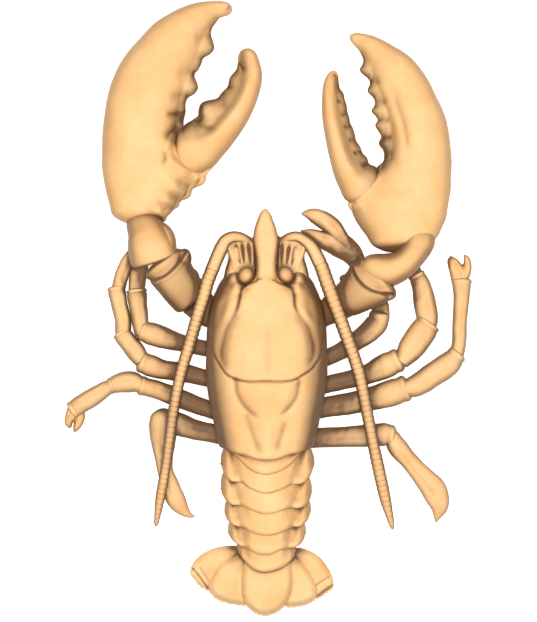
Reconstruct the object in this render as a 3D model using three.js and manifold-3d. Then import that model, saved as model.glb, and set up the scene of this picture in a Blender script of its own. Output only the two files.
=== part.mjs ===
// A whole cooked lobster lying on its belly, in millimetres: +X to its right, +Y towards its head, +Z up.
// Every plate of the shell is a closed solid of its own, and neighbours keep a small gap.
// The form of most plates is a limb: oval sections of changing size, strung along a curve.
import * as THREE from "three";
import { mergeVertices } from "three/addons/utils/BufferGeometryUtils.js";
import Module from "manifold-3d";

const wasm = await Module();
wasm.setup();

// ---- Driving dimensions ----
const GAP = 0.35; // between neighbouring plates
const HALF_WIDTH = 38.5; // of the carapace at its widest
const BACK_HEIGHT = 62; // top of the carapace above the table
const SKIRT_HEIGHT = 15.5; // lower edge of the carapace
const ROSTRUM_TIP = 64.5; // how far the rostrum reaches forward of the frame's zero
const TAIL_ROOT = -97; // rear edge of the carapace on the midline
const TAIL_END = -196.5; // rear edge of the telson
const SIZE_LIMIT = 420; // larger than the lobster in any direction
const DETAIL = 0.05; // ripples smaller than this are smoothed away

const SHELL = { color: 0xf0bf83, roughness: 0.56, metalness: 0 };
const PALE_SHELL = { color: 0xf2c28f, roughness: 0.56, metalness: 0 };
const EYE = { color: 0xe0af78, roughness: 0.5, metalness: 0 };

// ---- Forms ----

// Radius share at a place s from 0 to 1 along a limb whose ends are rounded over the share cap of its length.
function endRounding(s, cap) {
  const inset = Math.max(0, 1 - Math.min(s, 1 - s) / cap);
  return Math.sqrt(1 - inset * inset);
}

// A closed form strung along stations [x, y, z, half width, half height].
// squareness 2 is an oval section, and bow carries the middle of each section forward along the limb.
function limb(stations, options = {}, grow = 0) {
  const { sides = 7, rings = 5, cap = 0.14, squareness = 2, bow = 0 } = options;
  const centres = new THREE.CatmullRomCurve3(
    stations.map(([x, y, z]) => new THREE.Vector3(x, y, z)),
  );
  const sizes = new THREE.CatmullRomCurve3(
    stations.map(([, , , w, h]) => new THREE.Vector3(w, h, 0)),
  );
  const form = new THREE.SphereGeometry(1, sides, rings);
  const points = form.getAttribute("position");
  const corner = (c) => Math.sign(c) * Math.abs(c) ** (2 / squareness);
  const p = new THREE.Vector3();
  for (let i = 0; i < points.count; i++) {
    p.fromBufferAttribute(points, i);
    const s = THREE.MathUtils.clamp((1 - p.y) / 2, 0, 1);
    const ring = Math.hypot(p.x, p.z);
    const across = ring > 1e-5 ? corner(p.x / ring) : 0;
    const above = ring > 1e-5 ? corner(p.z / ring) : 0;
    const share = ring > 1e-5 ? endRounding(s, cap) : 0;
    const tangent = centres.getTangent(s);
    const side = new THREE.Vector3(0, 0, 1).cross(tangent).normalize();
    const up = tangent.clone().cross(side);
    const size = sizes.getPoint(s);
    const forward = bow * (1 - (share * across) ** 2) + grow * (2 * s - 1);
    p.copy(centres.getPoint(s))
      .addScaledVector(side, (size.x + grow) * share * across)
      .addScaledVector(up, (size.y + grow) * share * above)
      .addScaledVector(tangent, forward);
    points.setXYZ(i, p.x, p.y, p.z);
  }
  return form;
}

// A rounded knob, such as a tooth or a tubercle, with radii [rx, ry, rz].
function knob([x, y, z], [rx, ry, rz]) {
  return new THREE.SphereGeometry(1, 6, 4).scale(rx, ry, rz).translate(x, y, z);
}

// One joint of a walking leg: slim where it leaves the joint before, fullest near its far end.
function legStations([x0, y0, z0], [x1, y1, z1], near, far, flatness, bend) {
  const dx = x1 - x0;
  const dy = y1 - y0;
  const station = (t, width) => {
    const sway = bend * 4 * t * (1 - t);
    return [
      x0 + dx * t - dy * sway,
      y0 + dy * t + dx * sway,
      z0 + (z1 - z0) * t,
      width / 2,
      (width / 2) * flatness,
    ];
  };
  return [
    station(-0.08, near * 0.85),
    station(0.3, near),
    station(0.75, far),
    station(1, far * 0.8),
  ];
}

// A plate of the tail fan: an outline drawn flat, given a thickness, then tilted up towards the tail.
function fanBlade(outline, bottom, grow = 0) {
  const thickness = 2.6;
  const slope = 0.24;
  const corners = outline.map(([x, y]) => new THREE.Vector3(x, y, 0));
  const curve = new THREE.CatmullRomCurve3(corners, true);
  const outward = THREE.ShapeUtils.isClockWise(corners) ? -1 : 1;
  const count = outline.length * 3;
  const edge = Array.from({ length: count }, (_, i) => {
    const { x, y } = curve.getPoint(i / count);
    const tangent = curve.getTangent(i / count).multiplyScalar(outward * grow);
    return new THREE.Vector2(x + tangent.y, y - tangent.x);
  });
  const blade = new THREE.ExtrudeGeometry(new THREE.Shape(edge), {
    depth: thickness + 2 * grow,
    bevelEnabled: false,
  }).translate(0, 0, bottom - grow);
  const points = blade.getAttribute("position");
  for (let i = 0; i < points.count; i++) {
    points.setZ(i, points.getZ(i) + slope * (points.getY(i) - TAIL_END));
  }
  return blade;
}

// ---- Solids ----

function solidOf(geometry) {
  const bare = geometry.clone();
  bare.deleteAttribute("normal");
  bare.deleteAttribute("uv");
  const merged = mergeVertices(bare, 1e-3);
  return new wasm.Manifold(
    new wasm.Mesh({
      numProp: 3,
      vertProperties: new Float32Array(merged.attributes.position.array),
      triVerts: new Uint32Array(merged.index.array),
    }),
  );
}

function joined(geometries) {
  return geometries.map(solidOf).reduce((whole, part) => whole.add(part));
}

function geometryOf(solid) {
  const { numProp, numVert, vertProperties, triVerts } = solid.getMesh();
  const positions = new Float32Array(numVert * 3);
  for (let i = 0; i < numVert; i++) {
    const start = i * numProp;
    positions.set(vertProperties.subarray(start, start + 3), i * 3);
  }
  const geometry = new THREE.BufferGeometry();
  geometry.setAttribute("position", new THREE.BufferAttribute(positions, 3));
  geometry.setIndex(new THREE.BufferAttribute(new Uint32Array(triVerts), 1));
  geometry.computeVertexNormals();
  return geometry;
}

// The table, which gives every plate that touches it a flat spot at height 0.
const table = solidOf(
  new THREE.BoxGeometry(SIZE_LIMIT * 2, SIZE_LIMIT * 2, 40).translate(0, 0, -20),
);

const lobster = new THREE.Group();
const earlier = []; // each plate's grown copy, which cuts the plates made after it

function boxesMeet(a, b) {
  return [0, 1, 2].every((k) => a.min[k] < b.max[k] && b.min[k] < a.max[k]);
}

// forms(grow) gives the plate's geometries, made larger all round by grow.
function addPlate(name, finish, forms) {
  let solid = joined(forms(0)).simplify(DETAIL).subtract(table);
  const box = solid.boundingBox();
  for (const other of earlier) {
    if (boxesMeet(box, other.box)) solid = solid.subtract(other.grown);
  }
  const whole = solid
    .decompose()
    .reduce((best, body) => (body.volume() > best.volume() ? body : best));
  const grown = joined(forms(GAP)).add(whole);
  earlier.push({ grown, box: grown.boundingBox() });
  const mesh = new THREE.Mesh(
    geometryOf(whole.simplify(0.005)),
    new THREE.MeshStandardMaterial(finish),
  );
  mesh.name = name;
  lobster.add(mesh);
}

// ---- Head and trunk ----

function addTrunk() {
  const trunk = [
    [0, 26, 33, 19, 11],
    [0, 14, 34.5, 30, 18],
    [0, -2, 36, 36.5, 21],
    [0, -24, 38.7, HALF_WIDTH, 23.3],
    [0, -46, 38.7, HALF_WIDTH, 23.3],
    [0, -64, 37, 35, 22],
    [0, -80, 35, 31.5, 20],
    [0, -91, 33.5, 29, 18.5],
  ];
  const rostrum = [
    [0, -2, 53, 8, 4],
    [0, 18, 49, 6.5, 5.5],
    [0, 34, 46.5, 6, 4.5],
    [0, 45, 46.5, 7.5, 3.6],
    [0, 56, 47.5, 4.6, 2.8],
    [0, ROSTRUM_TIP, 48.5, 1.6, 1.6],
  ];
  const belly = [
    [0, 27, 8, 14, 7],
    [0, 8, 7, 19, 8],
    [0, -30, 7, 21, 8],
    [0, -70, 7, 19, 8],
    [0, -90, 7.5, 15, 7],
  ];
  const trunkForm = { sides: 20, rings: 11, squareness: 2.2, cap: 0.07, bow: 6.5 };
  const bellyForm = { sides: 10, rings: 7, squareness: 3 };
  addPlate("carapace", SHELL, (grow) => [
    limb(trunk, trunkForm, grow),
    limb(rostrum, { sides: 7, rings: 8, cap: 0.08 }, grow),
  ]);
  addPlate("belly_plate", PALE_SHELL, (grow) => [limb(belly, bellyForm, grow)]);
}

// [side, x, y]: the right eye sits a little nearer the midline.
function addEyes() {
  for (const [side, x, y] of [["left", -12.8, 21.5], ["right", 11.9, 20.5]]) {
    const radius = 4.6;
    addPlate(`${side}_eye`, EYE, (grow) => [
      knob([x, y + 2, 47.5], [radius + grow, radius + grow, radius + grow]),
    ]);
  }
}

// ---- Tail ----

function addTail() {
  // Each ring: rear edge on the midline, half width, top, side lobe's y, left lobe's reach, right lobe's reach.
  const rings = [
    [-106, 24, 47, -94, 25, 26],
    [-118, 24.5, 46, -100, 29, 31],
    [-131, 24, 44, -116, 29, 29],
    [-144.5, 23, 41, -130, 26.5, 28.5],
    [-157, 21, 36.5, -144.5, 24.5, 25],
    [-168, 18, 31, -155, 19.5, 18.5],
  ];
  const bow = 8.5;
  const underside = 3;
  let front = TAIL_ROOT + 4;
  rings.forEach(([rear, halfWidth, top, lobeY, leftReach, rightReach], i) => {
    const middle = (top + underside) / 2;
    const halfHeight = (top - underside) / 2;
    const arch = [
      [0, front + bow - GAP, middle - 1, halfWidth - 1.5, halfHeight - 1],
      [0, (front + rear) / 2 + bow, middle, halfWidth, halfHeight],
      [0, rear + bow, middle - 0.5, halfWidth, halfHeight - 0.5],
    ];
    const lobe = (sign, reach) => [
      [sign * (halfWidth - 7), lobeY, top * 0.5, 8, 4],
      [sign * (halfWidth - 1), lobeY - 0.5, top * 0.36, 9, 4],
      [sign * reach, lobeY - 3, 6, 5, 2.6],
    ];
    const archForm = { sides: 12, rings: 4, squareness: 2.3, cap: 0.1, bow };
    const lobeForm = { sides: 6, rings: 4, cap: 0.25 };
    addPlate(`tail_ring_${i + 1}`, SHELL, (grow) => [
      limb(arch, archForm, grow),
      limb(lobe(-1, leftReach), lobeForm, grow),
      limb(lobe(1, rightReach), lobeForm, grow),
    ]);
    front = rear;
  });
}

function addTailFan() {
  const telson = [
    [-13, -158], [-15.5, -168], [-16.6, -178], [-14.5, -188.5], [-8, -194.5],
    [0, TAIL_END], [8, -194.5], [14.5, -188.5], [16.6, -178], [15.5, -168], [13, -158],
  ];
  const leftInner = [
    [-12, -158], [-24, -161], [-32, -166], [-36.5, -176], [-33, -185],
    [-24, -189.5], [-13, -189], [-8, -175],
  ];
  const leftOuter = [
    [-13, -152], [-30, -152.5], [-43, -158], [-49, -167], [-44.5, -176],
    [-36.5, -181], [-24, -175], [-15, -162],
  ];
  const rightInner = [
    [12, -158], [22, -162], [29, -170], [32.5, -181], [28, -188],
    [21, -191], [12, -190.5], [8, -175],
  ];
  const rightOuter = [
    [13, -152.5], [27, -154.5], [36, -161], [42, -172], [41.5, -179],
    [33, -185], [24, -179], [15, -162],
  ];
  const blades = [
    ["telson", telson, 6.2],
    ["left_inner_fan", leftInner, 3.1],
    ["right_inner_fan", rightInner, 3.1],
    ["left_outer_fan", leftOuter, 0],
    ["right_outer_fan", rightOuter, 0],
  ];
  for (const [name, outline, bottom] of blades) {
    addPlate(name, SHELL, (grow) => [fanBlade(outline, bottom, grow)]);
  }
}

// ---- Claws ----

const CLAWS = {
  left: {
    palm: [
      [-81, 55, 27, 12, 9],
      [-78, 67, 24, 24.5, 13.5],
      [-75, 80, 20.5, 29.5, 16],
      [-76.5, 94, 18, 30.5, 18],
      [-80.5, 107, 17.5, 25.5, 18],
      [-76.5, 134, 16.5, 25, 17],
      [-63.5, 162, 16, 22.5, 14.5],
      [-47, 183.5, 15, 13, 10],
      [-36, 191, 14, 7.5, 6.5],
      [-23, 192.5, 12, 2.5, 3.5],
    ],
    // Teeth and tubercles of the palm: [x, y, z, radius].
    palmKnobs: [
      [-39, 168, 15, 4.8], [-49, 143, 16, 5], [-54, 130, 16, 4],
      [-45.5, 81, 20, 5], [-53, 74, 21, 5], [-61, 67, 22, 5],
    ],
    finger: [
      [-49.5, 93.5, 20, 10, 9],
      [-45, 100, 20, 14.5, 12],
      [-37.5, 109.5, 19, 14, 12],
      [-21, 128.5, 17, 11, 10.5],
      [-11, 150, 15, 8, 7.5],
      [-13, 165, 13.5, 3.5, 4],
    ],
    fingerKnobs: [[-37, 128, 17, 5], [-44.5, 119, 18, 5], [-22, 142, 16, 3.5]],
    wrist: [
      [-81.5, 57.5, 29, 9, 10],
      [-78, 50, 30, 13, 13],
      [-72.5, 40, 31, 15.5, 15],
      [-73.5, 30, 30, 13, 13],
      [-76, 25, 29, 7.5, 9],
    ],
    arm: [
      [-64.5, 32.5, 29, 11.5, 11],
      [-60, 25.5, 29, 14.5, 14],
      [-52, 14, 27, 13.5, 13],
      [-44.5, 4, 24, 13, 11],
    ],
    hip: [
      [-44.5, 4, 24, 11.5, 10],
      [-38.5, -1.5, 20, 9.5, 9],
      [-30, -7, 14, 7.5, 7],
    ],
    thorns: [[-50.5, 35, 30, 4], [-46, 27, 29, 4]],
  },
  right: {
    palm: [
      [96, 41, 27, 12, 9],
      [90.5, 52, 25, 23, 12.5],
      [86, 65, 21, 30.5, 15],
      [90.5, 79, 18, 28, 16.5],
      [97, 92, 17, 22, 16.5],
      [95.5, 112, 16.5, 21.5, 16],
      [88.5, 136, 16, 18.5, 13.5],
      [79, 153.5, 15, 15, 11],
      [67, 166.5, 13.5, 8, 7],
      [54, 175, 12, 2, 3],
    ],
    palmKnobs: [
      [61.5, 153.5, 14, 3.2], [66.5, 140, 14.5, 3.2], [69.5, 127.5, 15, 3.2],
      [72, 118.5, 15.5, 3.2], [74, 106.5, 16, 3],
    ],
    finger: [
      [63.5, 75, 20, 9, 8],
      [60.5, 79.5, 20, 12, 10.5],
      [54, 89, 19, 11, 10.5],
      [46.5, 110, 17, 9.5, 9.5],
      [42, 134.5, 15, 6.5, 7],
      [43.5, 152.5, 13.5, 2, 3],
    ],
    fingerKnobs: [
      [47, 135, 15, 2.8], [49, 126, 16, 3], [51.5, 117, 16, 3.2],
      [54.5, 109, 17, 3.2], [58, 101, 17.5, 3.2],
    ],
    wrist: [
      [98, 43, 29, 8.5, 10],
      [95, 34, 30, 11.5, 13],
      [87.5, 27, 31, 12, 15],
      [77, 24.5, 31, 11.5, 15],
      [61, 30.5, 29, 6, 9],
    ],
    arm: [
      [72, 22.5, 29, 13, 11],
      [66, 16.5, 29, 16.5, 14],
      [57, 8, 27, 14, 13],
      [49, 4, 24, 10, 11],
    ],
    hip: [
      [49, 4, 24, 9.5, 10],
      [42, 0, 20, 9, 9],
      [32, -6, 14, 7.5, 7],
    ],
    thorns: [[82, 13, 28, 4], [78, 5, 26, 4]],
  },
};

function ball([x, y, z, radius], grow) {
  const r = radius + grow;
  return knob([x, y, z], [r, r, r]);
}

function addClaw(side, claw) {
  const long = { sides: 12, rings: 11, cap: 0.06 };
  const middle = { sides: 9, rings: 8, cap: 0.08 };
  const short = { sides: 9, rings: 6, cap: 0.14 };
  addPlate(`${side}_claw_finger`, SHELL, (grow) => [
    limb(claw.finger, middle, grow),
    ...claw.fingerKnobs.map((k) => ball(k, grow)),
  ]);
  addPlate(`${side}_claw_palm`, SHELL, (grow) => [
    limb(claw.palm, long, grow),
    ...claw.palmKnobs.map((k) => ball(k, grow)),
  ]);
  addPlate(`${side}_claw_wrist`, SHELL, (grow) => [limb(claw.wrist, short, grow)]);
  addPlate(`${side}_claw_arm`, SHELL, (grow) => [
    limb(claw.arm, short, grow),
    ...claw.thorns.map((k) => ball(k, grow)),
  ]);
  addPlate(`${side}_claw_hip`, PALE_SHELL, (grow) => [limb(claw.hip, short, grow)]);
}

// ---- Walking legs ----

// Each leg starts at its root, and each joint is [name, end, near width, far width, flatness, bend].
const LEGS = {
  left_leg_1: {
    root: [-20, -28, 8],
    joints: [
      ["upper", [-83, -13, 13], 9, 15, 0.9, 0.02],
      ["knee", [-83.5, 12, 8.5], 13.5, 12.5, 0.85, -0.03],
      ["lower", [-77, 42, 4], 8.5, 7, 0.8, 0.06],
    ],
  },
  left_leg_2: {
    root: [-20, -49, 8],
    joints: [
      ["upper", [-85, -36.5, 13], 9, 12, 0.95, 0.03],
      ["knee", [-95.5, -15, 11], 10.5, 12.5, 0.9, 0],
      ["lower", [-96.5, 14, 7], 9.5, 10, 0.9, 0.04],
      ["toe", [-83, 42, 4], 8, 5.5, 0.8, 0.1],
    ],
  },
  left_leg_3: {
    root: [-18, -70, 8],
    joints: [
      ["upper", [-82, -48.5, 12], 9, 11.5, 1, 0],
      ["knee", [-99.5, -48, 12], 11, 11, 0.95, -0.12],
      ["lower", [-124, -63.5, 6], 8, 10, 1, 0],
      ["toe", [-126.5, -77, 3.5], 6.5, 3, 0.8, 0.12],
    ],
  },
  left_leg_4: {
    root: [-17, -86, 8],
    joints: [
      ["upper", [-70, -69, 10], 9.5, 13, 0.85, 0],
      ["toe", [-46.5, -133.5, 3.5], 11, 11, 0.7, -0.17],
    ],
  },
  right_leg_1: {
    root: [21, -36, 8],
    joints: [
      ["upper", [76, -4, 12], 9.5, 11.5, 1, -0.02],
      ["knee", [58, 28.5, 7], 8.5, 9.5, 0.9, 0.06],
      ["pincer", [22, 50, 9], 13, 6, 0.75, -0.06],
      ["toe", [22.5, 62, 11.5], 11, 8, 0.85, -0.09],
    ],
  },
  right_leg_2: {
    root: [21, -54, 8],
    joints: [
      ["upper", [87, -31.5, 13], 9, 13.5, 1, -0.02],
      ["knee", [104, -8, 11.5], 12.5, 15, 0.9, 0],
      ["lower", [96.5, 21, 7], 13.5, 11.5, 0.85, -0.06],
      ["toe", [83.5, 47, 4], 8, 5.5, 0.8, 0],
    ],
  },
  right_leg_3: {
    root: [20, -68, 8],
    joints: [
      ["upper", [92, -49.5, 13], 10, 13.5, 1, -0.03],
      ["knee", [121, -32, 12], 13.5, 13.5, 0.95, -0.04],
      ["lower", [124.5, 18.5, 6], 9, 10, 0.9, -0.03],
      ["pincer", [118.5, 33, 4.5], 9, 4.5, 0.8, -0.05],
    ],
  },
  right_leg_4: {
    root: [18, -86, 8],
    joints: [
      ["upper", [82, -81.5, 10], 11, 14, 0.85, 0],
      ["toe", [108.5, -137, 3.5], 9, 14.5, 0.6, 0.17],
    ],
  },
};

// The pincer fingers that stand beside a joint's own end: where they start and end.
const SMALL_FINGERS = {
  right_leg_1_toe: { start: [59, 33, 9] },
  right_leg_3_pincer: { extra: [[126, 22, 5.5], [126.5, 34, 4.5], 6, 3.5] },
};

function addLeg(leg, { root, joints }) {
  let start = root;
  for (const [part, end, near, far, flatness, bend] of joints) {
    const name = `${leg}_${part}`;
    const own = SMALL_FINGERS[name] ?? {};
    const stations = legStations(own.start ?? start, end, near, far, flatness, bend);
    addPlate(name, SHELL, (grow) => {
      const forms = [limb(stations, {}, grow)];
      if (own.extra) {
        const [from, to, wide, narrow] = own.extra;
        forms.push(limb(legStations(from, to, wide, narrow, 0.9, -0.15), {}, grow));
      }
      return forms;
    });
    start = end;
  }
}

// ---- Feelers and mouth ----

function addFeelers() {
  const whip = { sides: 6, rings: 18, cap: 0.012 };
  const stalk = { sides: 7, rings: 4, cap: 0.2 };
  // Reach of each antenna: [x, y, z] on its way back along the body.
  const routes = {
    left: [[-40, 14, 41.5], [-49.5, -21, 35], [-57.5, -62, 24], [-64.5, -102, 15.5], [-70.5, -138, 4.5]],
    right: [[39.5, 14, 41.5], [52, -22, 35], [63, -62, 24], [72.5, -103, 15.5], [80.5, -140, 4.5]],
  };
  const thickness = [4, 3.7, 3.3, 3, 1.1];
  for (const [side, sign] of [["left", -1], ["right", 1]]) {
    const hook = [
      [sign * 11.5, 43.5, 39, 3, 3],
      [sign * 18, 45.5, 40, 4, 4],
      [sign * 24.5, 43.5, 41, 4.2, 4.2],
      [sign * 30.5, 34, 41.5, 4.2, 4.2],
    ];
    const route = routes[side].map(([x, y, z], i) => [x, y, z, thickness[i], thickness[i]]);
    addPlate(`${side}_antenna`, SHELL, (grow) => [limb([...hook, ...route], whip, grow)]);
    addPlate(`${side}_antenna_stalk`, SHELL, (grow) => [
      limb(
        [
          [sign * 19, 18, 34, 5, 6],
          [sign * 21, 30, 35, 5.5, 5.5],
          [sign * 23, 42, 36, 4.5, 3],
        ],
        stalk,
        grow,
      ),
    ]);
    addPlate(`${side}_antennule`, SHELL, (grow) => [
      limb(
        [
          [sign * 11, 26, 38, 3, 3],
          [sign * 12.5, 34, 38.5, 3, 3],
          [sign * 13.5, 45, 36, 1.6, 1.6],
        ],
        stalk,
        grow,
      ),
    ]);
    addPlate(`${side}_mouth_leg`, PALE_SHELL, (grow) => [
      limb(
        [
          [sign * 11, 14, 12, 4, 4],
          [sign * 11, 32, 15, 4.5, 4.5],
          [sign * 7, 46, 19, 2, 2.2],
        ],
        stalk,
        grow,
      ),
    ]);
  }
}

addTrunk();
addEyes();
addTail();
addTailFan();
for (const [side, claw] of Object.entries(CLAWS)) addClaw(side, claw);
for (const [leg, form] of Object.entries(LEGS)) addLeg(leg, form);
addFeelers();

// The frame's origin is under the middle of the whole outline.
const middle = new THREE.Box3().setFromObject(lobster).getCenter(new THREE.Vector3());
lobster.position.set(-middle.x, -middle.y, 0);

export default lobster;
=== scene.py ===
# %% [markdown]
# # A whole cooked lobster
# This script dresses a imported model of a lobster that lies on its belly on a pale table. The packed
# solids are plain and faceted. Each one is replaced here by a sculpted piece of shell in the same place.
# All shapes are worked out in millimetres, with the body's midline at X 0, and are moved into the
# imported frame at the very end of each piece.

import math

import bmesh
import bpy
import numpy as np
from mathutils import Matrix, Vector


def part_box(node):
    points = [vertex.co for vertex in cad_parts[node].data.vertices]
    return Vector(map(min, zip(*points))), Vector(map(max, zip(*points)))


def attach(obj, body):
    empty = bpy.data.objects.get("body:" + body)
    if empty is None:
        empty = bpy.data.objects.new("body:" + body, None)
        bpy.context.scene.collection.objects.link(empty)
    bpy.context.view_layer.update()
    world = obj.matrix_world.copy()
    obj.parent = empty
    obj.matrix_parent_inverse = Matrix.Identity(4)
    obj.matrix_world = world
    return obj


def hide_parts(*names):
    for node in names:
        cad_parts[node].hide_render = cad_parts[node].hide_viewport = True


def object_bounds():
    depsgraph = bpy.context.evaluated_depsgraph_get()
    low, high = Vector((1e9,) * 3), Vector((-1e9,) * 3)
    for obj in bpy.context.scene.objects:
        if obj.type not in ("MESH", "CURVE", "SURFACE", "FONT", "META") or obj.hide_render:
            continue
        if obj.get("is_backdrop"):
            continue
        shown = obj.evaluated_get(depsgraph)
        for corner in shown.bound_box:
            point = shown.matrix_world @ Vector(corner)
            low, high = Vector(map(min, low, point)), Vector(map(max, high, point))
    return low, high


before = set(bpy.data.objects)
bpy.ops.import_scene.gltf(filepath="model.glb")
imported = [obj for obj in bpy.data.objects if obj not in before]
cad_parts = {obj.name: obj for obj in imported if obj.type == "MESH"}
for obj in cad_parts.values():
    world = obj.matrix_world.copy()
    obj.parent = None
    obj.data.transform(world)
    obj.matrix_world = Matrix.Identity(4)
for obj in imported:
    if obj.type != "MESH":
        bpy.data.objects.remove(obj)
cad_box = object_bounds()
print("packed box:", cad_box)

# %% [markdown]
# ## Where the body's midline is
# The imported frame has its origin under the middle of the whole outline, and one claw reaches out further
# than the other, so the midline is a little off X 0. The carapace is the same on both sides and its
# rostrum is its foremost point, so its box gives the midline and the place along the body.

# %% Find the midline
MM = 0.001
ROSTRUM_TIP = 64.5  # Y of the rostrum's tip, in the body's own millimetres
low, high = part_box("carapace")
MIDLINE = np.array([(low[0] + high[0]) / 2, high[1] - ROSTRUM_TIP * MM, 0.0])
print("body zero in the frame:", MIDLINE)

# %% [markdown]
# ## The camera
# The photograph looks straight down on the back, with the claws at the top. Its outline has no visible
# perspective, so the camera stands 8 m above the table with a long lens. The lens is worked out from the
# stretch of table that the photograph shows from top to bottom.

# %% Camera
VIEW_HEIGHT = 0.398  # length of table seen from top to bottom, in metres
CAMERA_HEIGHT = 8.0
LEVEL = 0.02  # the height at which the view has exactly that length
lens_data = bpy.data.cameras.new("overhead")
lens_data.sensor_fit = "VERTICAL"
lens_data.sensor_height = 24
lens_data.lens = 24 * (CAMERA_HEIGHT - LEVEL) / VIEW_HEIGHT
lens_data.clip_end = 20
camera = bpy.data.objects.new("overhead", lens_data)
camera.location = (MIDLINE[0] + 1.3 * MM, MIDLINE[1] - 1.3 * MM, CAMERA_HEIGHT)
bpy.context.scene.collection.objects.link(camera)
bpy.context.scene.camera = camera
print("lens:", round(lens_data.lens), "mm")

# %% [markdown]
# ## Limbs: the form that most of a lobster is made of
# Claws, leg joints, feelers and even the carapace are ovals of changing size strung along a curve. A
# skinned or lofted curve could make them, but a UV sphere whose rings are carried to stations along the
# curve closes both ends by itself and keeps clean quads. Each station is x, y, z, half width, half height.

# %% Limb helpers
def bell(distance, width):
    return np.exp(-((distance / width) ** 2))


def ramp(value, start, end):
    t = np.clip((value - start) / (end - start), 0, 1)
    return t * t * (3 - 2 * t)


def along(stations, shares):
    """Smooth values at shares (0 to 1, by length) of the way through rows of stations."""
    rows = np.asarray(stations, float)
    steps = np.linalg.norm(np.diff(rows[:, :3], axis=0), axis=1)
    marks = np.r_[0, np.cumsum(steps)] / steps.sum()
    slopes = np.gradient(rows, marks, axis=0)
    shares = np.clip(shares, 0, 1)
    i = np.clip(np.searchsorted(marks, shares, side="right") - 1, 0, len(marks) - 2)
    gap = (marks[i + 1] - marks[i])[:, None]
    t = ((shares - marks[i]) / gap[:, 0])[:, None]
    start = (2 * t**3 - 3 * t**2 + 1) * rows[i] + (t**3 - 2 * t**2 + t) * gap * slopes[i]
    return start + (3 * t**2 - 2 * t**3) * rows[i + 1] + (t**3 - t**2) * gap * slopes[i + 1]


def limb(bm, stations, rings=36, sides=24, caps=(0.1, 0.1), square=2.0, bow=0.0, flares=(), ribs=None, level=None):
    """Adds a closed limb. flares are (share, spread, amount) swellings, ribs is (count, depth). Up to the
    share in level, rings stay square to Y, so that a wide limb can bend without folding."""
    ball = bmesh.ops.create_uvsphere(bm, u_segments=sides, v_segments=rings, radius=1)["verts"]
    co = np.array([v.co for v in ball])
    turn = np.arccos(np.clip(-co[:, 2], -1, 1)) / np.pi
    s = turn - (0.0 if ribs else 0.08) * np.sin(2 * np.pi * turn)
    out = np.hypot(co[:, 0], co[:, 1])
    pole = out < 1e-4
    out[pole] = 1
    cos, sin = co[:, 0] / out, co[:, 1] / out
    corner = 2 / square
    across = np.sign(cos) * np.abs(cos) ** corner
    above = np.sign(sin) * np.abs(sin) ** corner
    inset = np.clip(1 - np.minimum(s / caps[0], (1 - s) / caps[1]), 0, 1)
    round_off = np.sqrt(1 - inset**2)
    round_off[pole] = 0
    swell = np.ones(len(s))
    for place, spread, amount in flares:
        swell += amount * np.exp(-(((s - place) / spread) ** 2))
    if ribs:
        count, depth = ribs
        swell -= depth * np.exp(-((((s * count) % 1 - 0.5) / 0.13) ** 2))
    at = along(stations, s)
    ahead = along(stations, s + 0.004)[:, :3] - along(stations, s - 0.004)[:, :3]
    ahead /= np.linalg.norm(ahead, axis=1)[:, None]
    side = np.cross([0, 0, 1], ahead)
    side /= np.linalg.norm(side, axis=1)[:, None]
    if level:
        keep = 1 - ramp(s, level - 0.2, level + 0.14)[:, None]
        side = side * (1 - keep) + np.array([1.0, 0, 0]) * np.sign(side[:, :1]) * keep
        side /= np.linalg.norm(side, axis=1)[:, None]
    up = np.cross(ahead, side)
    wide = (at[:, 3] * round_off * swell * across)[:, None]
    tall = (at[:, 4] * round_off * swell * above)[:, None]
    forward = (bow * (1 - (round_off * across) ** 2))[:, None]
    for v, place in zip(ball, at[:, :3] + side * wide + up * tall + ahead * forward):
        v.co = place
    return ball


def slab(bm, outline, z, thick, points=180):
    """Adds a flat slab with a smooth closed outline seen from above."""
    rim = bmesh.ops.create_circle(bm, cap_ends=True, segments=points, radius=1)["verts"]
    line = along([(x, y, 0) for x, y in outline], np.linspace(0, 1, points + 1)[:-1])
    for point, place in zip(rim, line):
        point.co = (place[0], place[1], z - thick / 2)
    faces = list({f for v in rim for f in v.link_faces})
    top = bmesh.ops.extrude_face_region(bm, geom=faces)["geom"]
    bmesh.ops.translate(bm, verts=[g for g in top if isinstance(g, bmesh.types.BMVert)], vec=(0, 0, thick))
    bmesh.ops.recalc_face_normals(bm, faces=bm.faces)
    return line


def lump(bm, x, y, z, rx, ry=None, rz=None, turn=0.0, detail=3):
    """Adds an egg-shaped lump, turned about the vertical."""
    size = Matrix.Diagonal((rx, ry or rx, rz or rx, 1))
    place = Matrix.Translation((x, y, z)) @ Matrix.Rotation(math.radians(turn), 4, "Z") @ size
    return bmesh.ops.create_icosphere(bm, subdivisions=detail, radius=1, matrix=place)["verts"]


# %% [markdown]
# ## Fusing, carving and painting
# Real shell has no sharp joins where a tooth or a spine grows out of it. Separate closed forms are fused
# by a voxel remesh, which is what a sculptor would use, and the seams are eased by a few rounds of
# smoothing. Grooves and ridges are then carved by moving points along their normals, by how near they
# are to a line drawn on the shell as seen from above. Last, each piece is painted with three weights
# that its material reads: painted shade, darkest in hollows and on steep sides; how pale it is; and how
# strong its colour is, which steep sides also get as painted shade.

# %% Sculpting helpers
def fused(bm, voxel, rounds=5):
    """Joins overlapping closed forms into one skin of even quads, and eases it."""
    mesh = bpy.data.meshes.new("fused")
    bm.to_mesh(mesh)
    bm.free()
    block = bpy.data.objects.new("fused", mesh)
    bpy.context.scene.collection.objects.link(block)
    skin = block.modifiers.new("fuse", "REMESH")
    skin.mode = "VOXEL"
    skin.voxel_size = voxel
    ease = block.modifiers.new("ease", "SMOOTH")
    ease.factor = 0.5
    ease.iterations = rounds
    done = bpy.data.meshes.new_from_object(block.evaluated_get(bpy.context.evaluated_depsgraph_get()))
    bpy.data.objects.remove(block)
    bpy.data.meshes.remove(mesh)
    return done


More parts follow.
